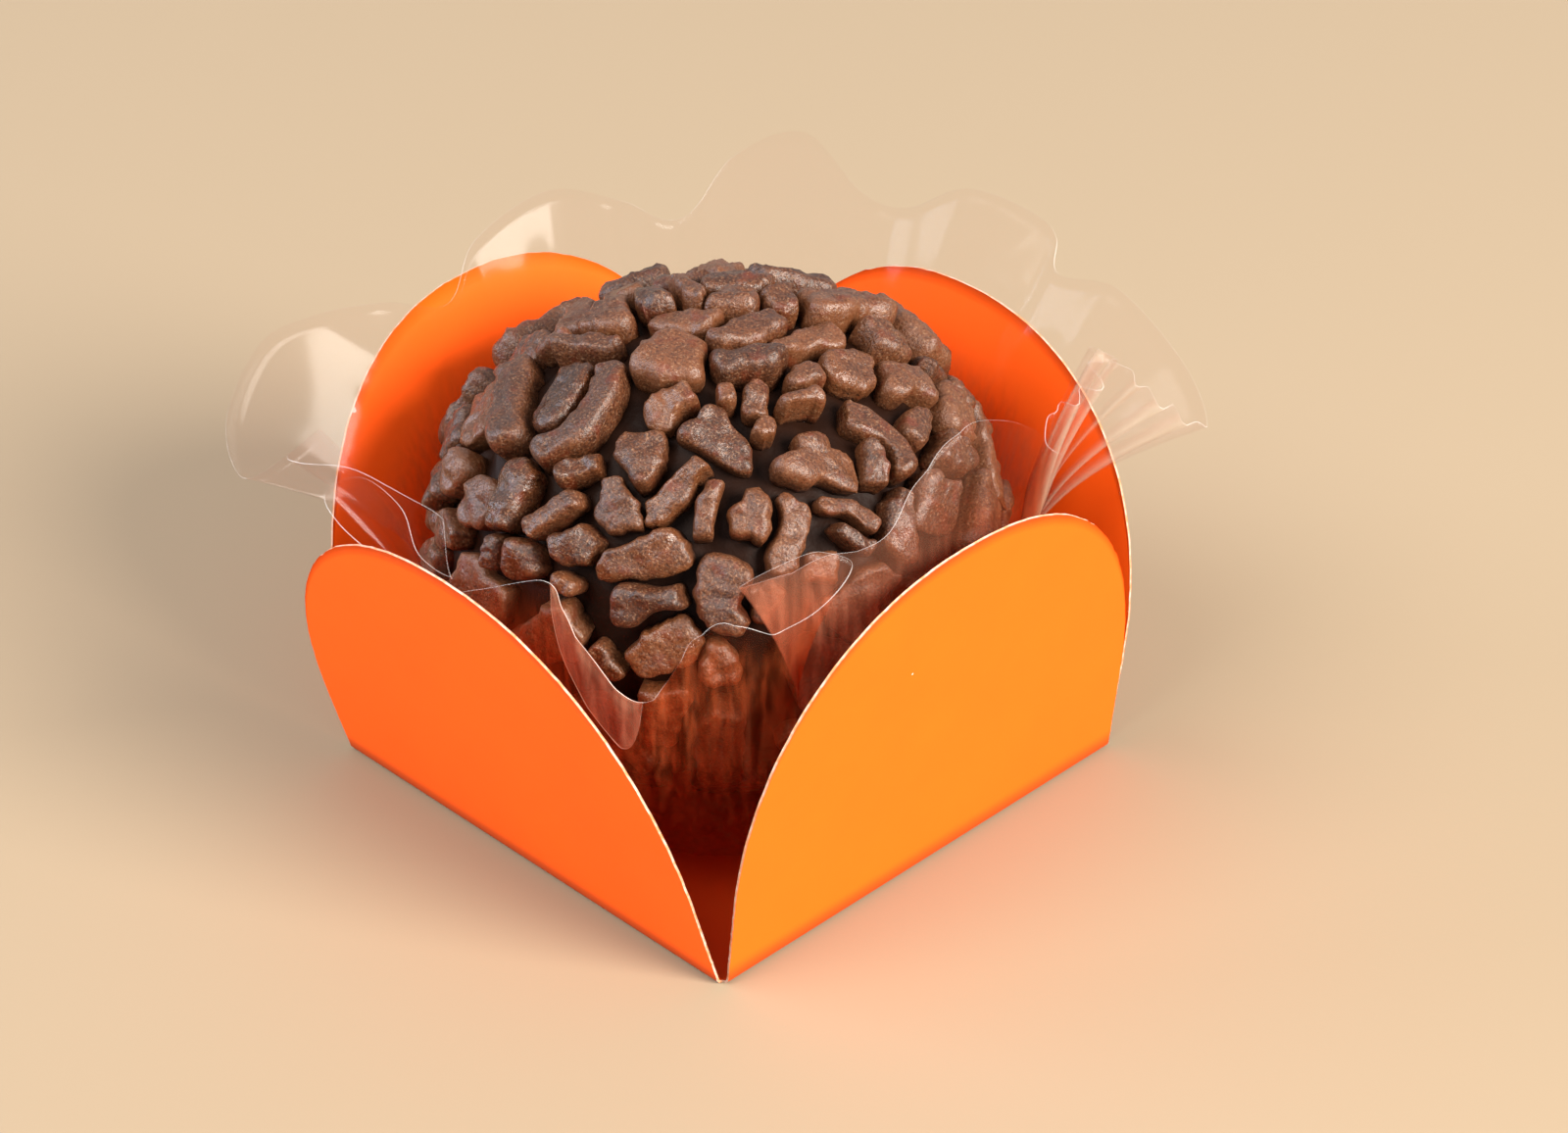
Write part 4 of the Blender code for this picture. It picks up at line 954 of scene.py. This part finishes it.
filmLook = {
    # share that is mirrored face on, how metallic that is, and its roughness
    "sheet": (0.003, 1.0, 0.12), "edge": (0.24, 0.25, 0.3),
    "most": 0.05, "power": 4.2,  # share mirrored where the film turns away, and how late that comes
    "clear": "#fefdfd", "shine": "#f3f3f3",
    "tint": "#f9e4d9",  # what one layer lets through where it clings to the chocolate, and low in the cup, where it darkens the floor behind as painted shade
    # greasy marks, and painted shade low in the cup: light and heavy, the noise that takes them from one
    # to the other, mm across and along, and what is left where the film is clean
    "smear": "#a8522a", "smearing": (0.05, 0.24), "marks": (0.4, 0.7), "streak": (0.5, 4.0),
    "dust": 0.008, "hazeRough": 0.5,
    "crease": "#b8a894", "creased": 0.17,  # the pale bloom of crimped film, and its share
}


def filmMaterial(name, least, metallic, roughness):
    # clear where it faces the eye and mirror-like where it turns away, with a little haze
    look = filmLook
    material, add = newMaterial(name)
    facing = add("LayerWeight", {"Blend": 0.5}).outputs["Facing"]
    rise = add("Math", {1: look["power"]}, {0: facing}, operation="POWER")
    share = add("MapRange", {3: least, 4: look["most"]}, {0: rise})
    smearAndShade, crimp = (add("Attribute", attribute_name=key).outputs["Fac"] for key in ("smearAndShade", "crimp"))
    tint = add("Mix", {6: fromHex(look["clear"]), 7: fromHex(look["tint"])}, {0: smearAndShade}, data_type="RGBA")
    clear = add("BsdfTransparent", None, {"Color": tint})
    shine = add("BsdfPrincipled", {"Base Color": fromHex(look["shine"]), "Metallic": metallic,
                                   "Roughness": roughness})
    glossy = add("MixShader", None, {0: share, 1: clear, 2: shine})
    # greasy marks, drawn out up the film, with painted shade low in the cup, and the whitish bloom where
    # it is crimped
    place = add("TexCoord").outputs["Object"]
    across, along = (1000 / size for size in look["streak"])
    drawn = add("Mapping", {"Scale": (across, across, along)}, {"Vector": place})
    marks = add("TexNoise", {"Scale": 1.0, "Detail": 3.0}, {"Vector": drawn})
    (low, high), (light, heavy) = look["marks"], look["smearing"]
    amount = add("MapRange", {1: low, 2: high, 3: light, 4: heavy}, {0: marks})
    greaseAndShade = add("Math", {2: look["dust"]}, {0: amount, 1: smearAndShade}, operation="MULTIPLY_ADD")
    hazy = add("Math", {1: look["creased"]}, {0: crimp, 2: greaseAndShade}, operation="MULTIPLY_ADD")
    colour = add("Mix", {6: fromHex(look["smear"]), 7: fromHex(look["crease"])}, {0: crimp},
                 data_type="RGBA")
    haze = add("BsdfPrincipled", {"Roughness": look["hazeRough"]}, {"Base Color": colour})
    shader = add("MixShader", None, {0: hazy, 1: glossy, 2: haze})
    add("OutputMaterial", None, {"Surface": shader})
    return material


def clearFilm():
    # cellulose film, cast thin and glossy: nearly unseen face on, bright along folds that turn away
    return filmMaterial("clear film, cast and crimped", *filmLook["sheet"])


def filmEdge():
    # the knife-cut edge gathers light and shows as a thin pale line
    return filmMaterial("clear film edge, knife cut", *filmLook["edge"])


for makePiece, finishes, node, slot in (
    (makeFlakes, (chocolateFlakes,), "brigadeiro", "chocolate"),
    (makeCore, (cookedFudge,), "brigadeiro", "chocolate"),
    (makeCase, (dyedCard, cutCardEdge), "card_case", "orange_card"),
    (makeFilm, (clearFilm, filmEdge), "film_liner", "clear_film"),
):
    piece = makePiece()
    for finish in finishes:
        piece.data.materials.append(finish())
    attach(piece, "root")
    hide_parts(node)
    print(piece.name, "made,", len(piece.data.polygons), "faces")


studio = {
    "floor": 1.6, "floorColour": "#85755f", "floorRough": 0.8,  # m, across
    "world": ("#e6e8ea", 1.1),
    # name: where it hangs in m, across in m, watts, colour; all look at a point so many m above the floor
    "lamps": {
        "window_right": ((0.62, 0.10, 0.38), 0.36, 17.0, "#fff6ea"),
        "window_left": ((-0.52, -0.42, 0.20), 0.36, 4.0, "#e6edff"),
        "fill_front": ((-0.10, -0.48, 0.62), 0.5, 6.5, "#fff8f0"),
    },
    "lampsAim": 0.012,
}


def matteSheet():
    # painted paper, rolled on matte: soft pale light under the case and no reflection of it
    material, add = newMaterial("studio sheet, matte")
    shader = add("BsdfPrincipled", {"Base Color": fromHex(studio["floorColour"]),
                                    "Roughness": studio["floorRough"]})
    add("OutputMaterial", None, {"Surface": shader})
    return material


def makeFloor():
    half = studio["floor"] / 2
    points = np.array([[-half, -half, 0], [half, -half, 0], [half, half, 0], [-half, half, 0]])
    floor = makeMesh("studio_floor", points, [[0, 1, 2, 3]], smooth=False)
    floor.data.materials.append(matteSheet())


def makeLights():
    for name, (place, across, watts, colour) in studio["lamps"].items():
        data = bpy.data.lights.new(name, "AREA")
        data.shape = "DISK"
        data.size = across
        data.energy = watts
        data.color = fromHex(colour)[:3]
        back = unit(np.array(place) - np.array([0, 0, studio["lampsAim"]]))
        side = unit(np.cross([0, 0, 1.0], back))
        putUp(name, data, (side, np.cross(back, side), back), place)
    world = bpy.data.worlds.new("studio")
    world.use_nodes = True
    colour, strength = studio["world"]
    world.node_tree.nodes["Background"].inputs["Color"].default_value = fromHex(colour)
    world.node_tree.nodes["Background"].inputs["Strength"].default_value = strength
    bpy.context.scene.world = world


makeFloor()
makeLights()
bpy.context.scene.view_settings.view_transform = "Standard"
bpy.context.scene.cycles.transparent_max_bounces = 32  # sight lines cross many layers of film
print("floor and light set")
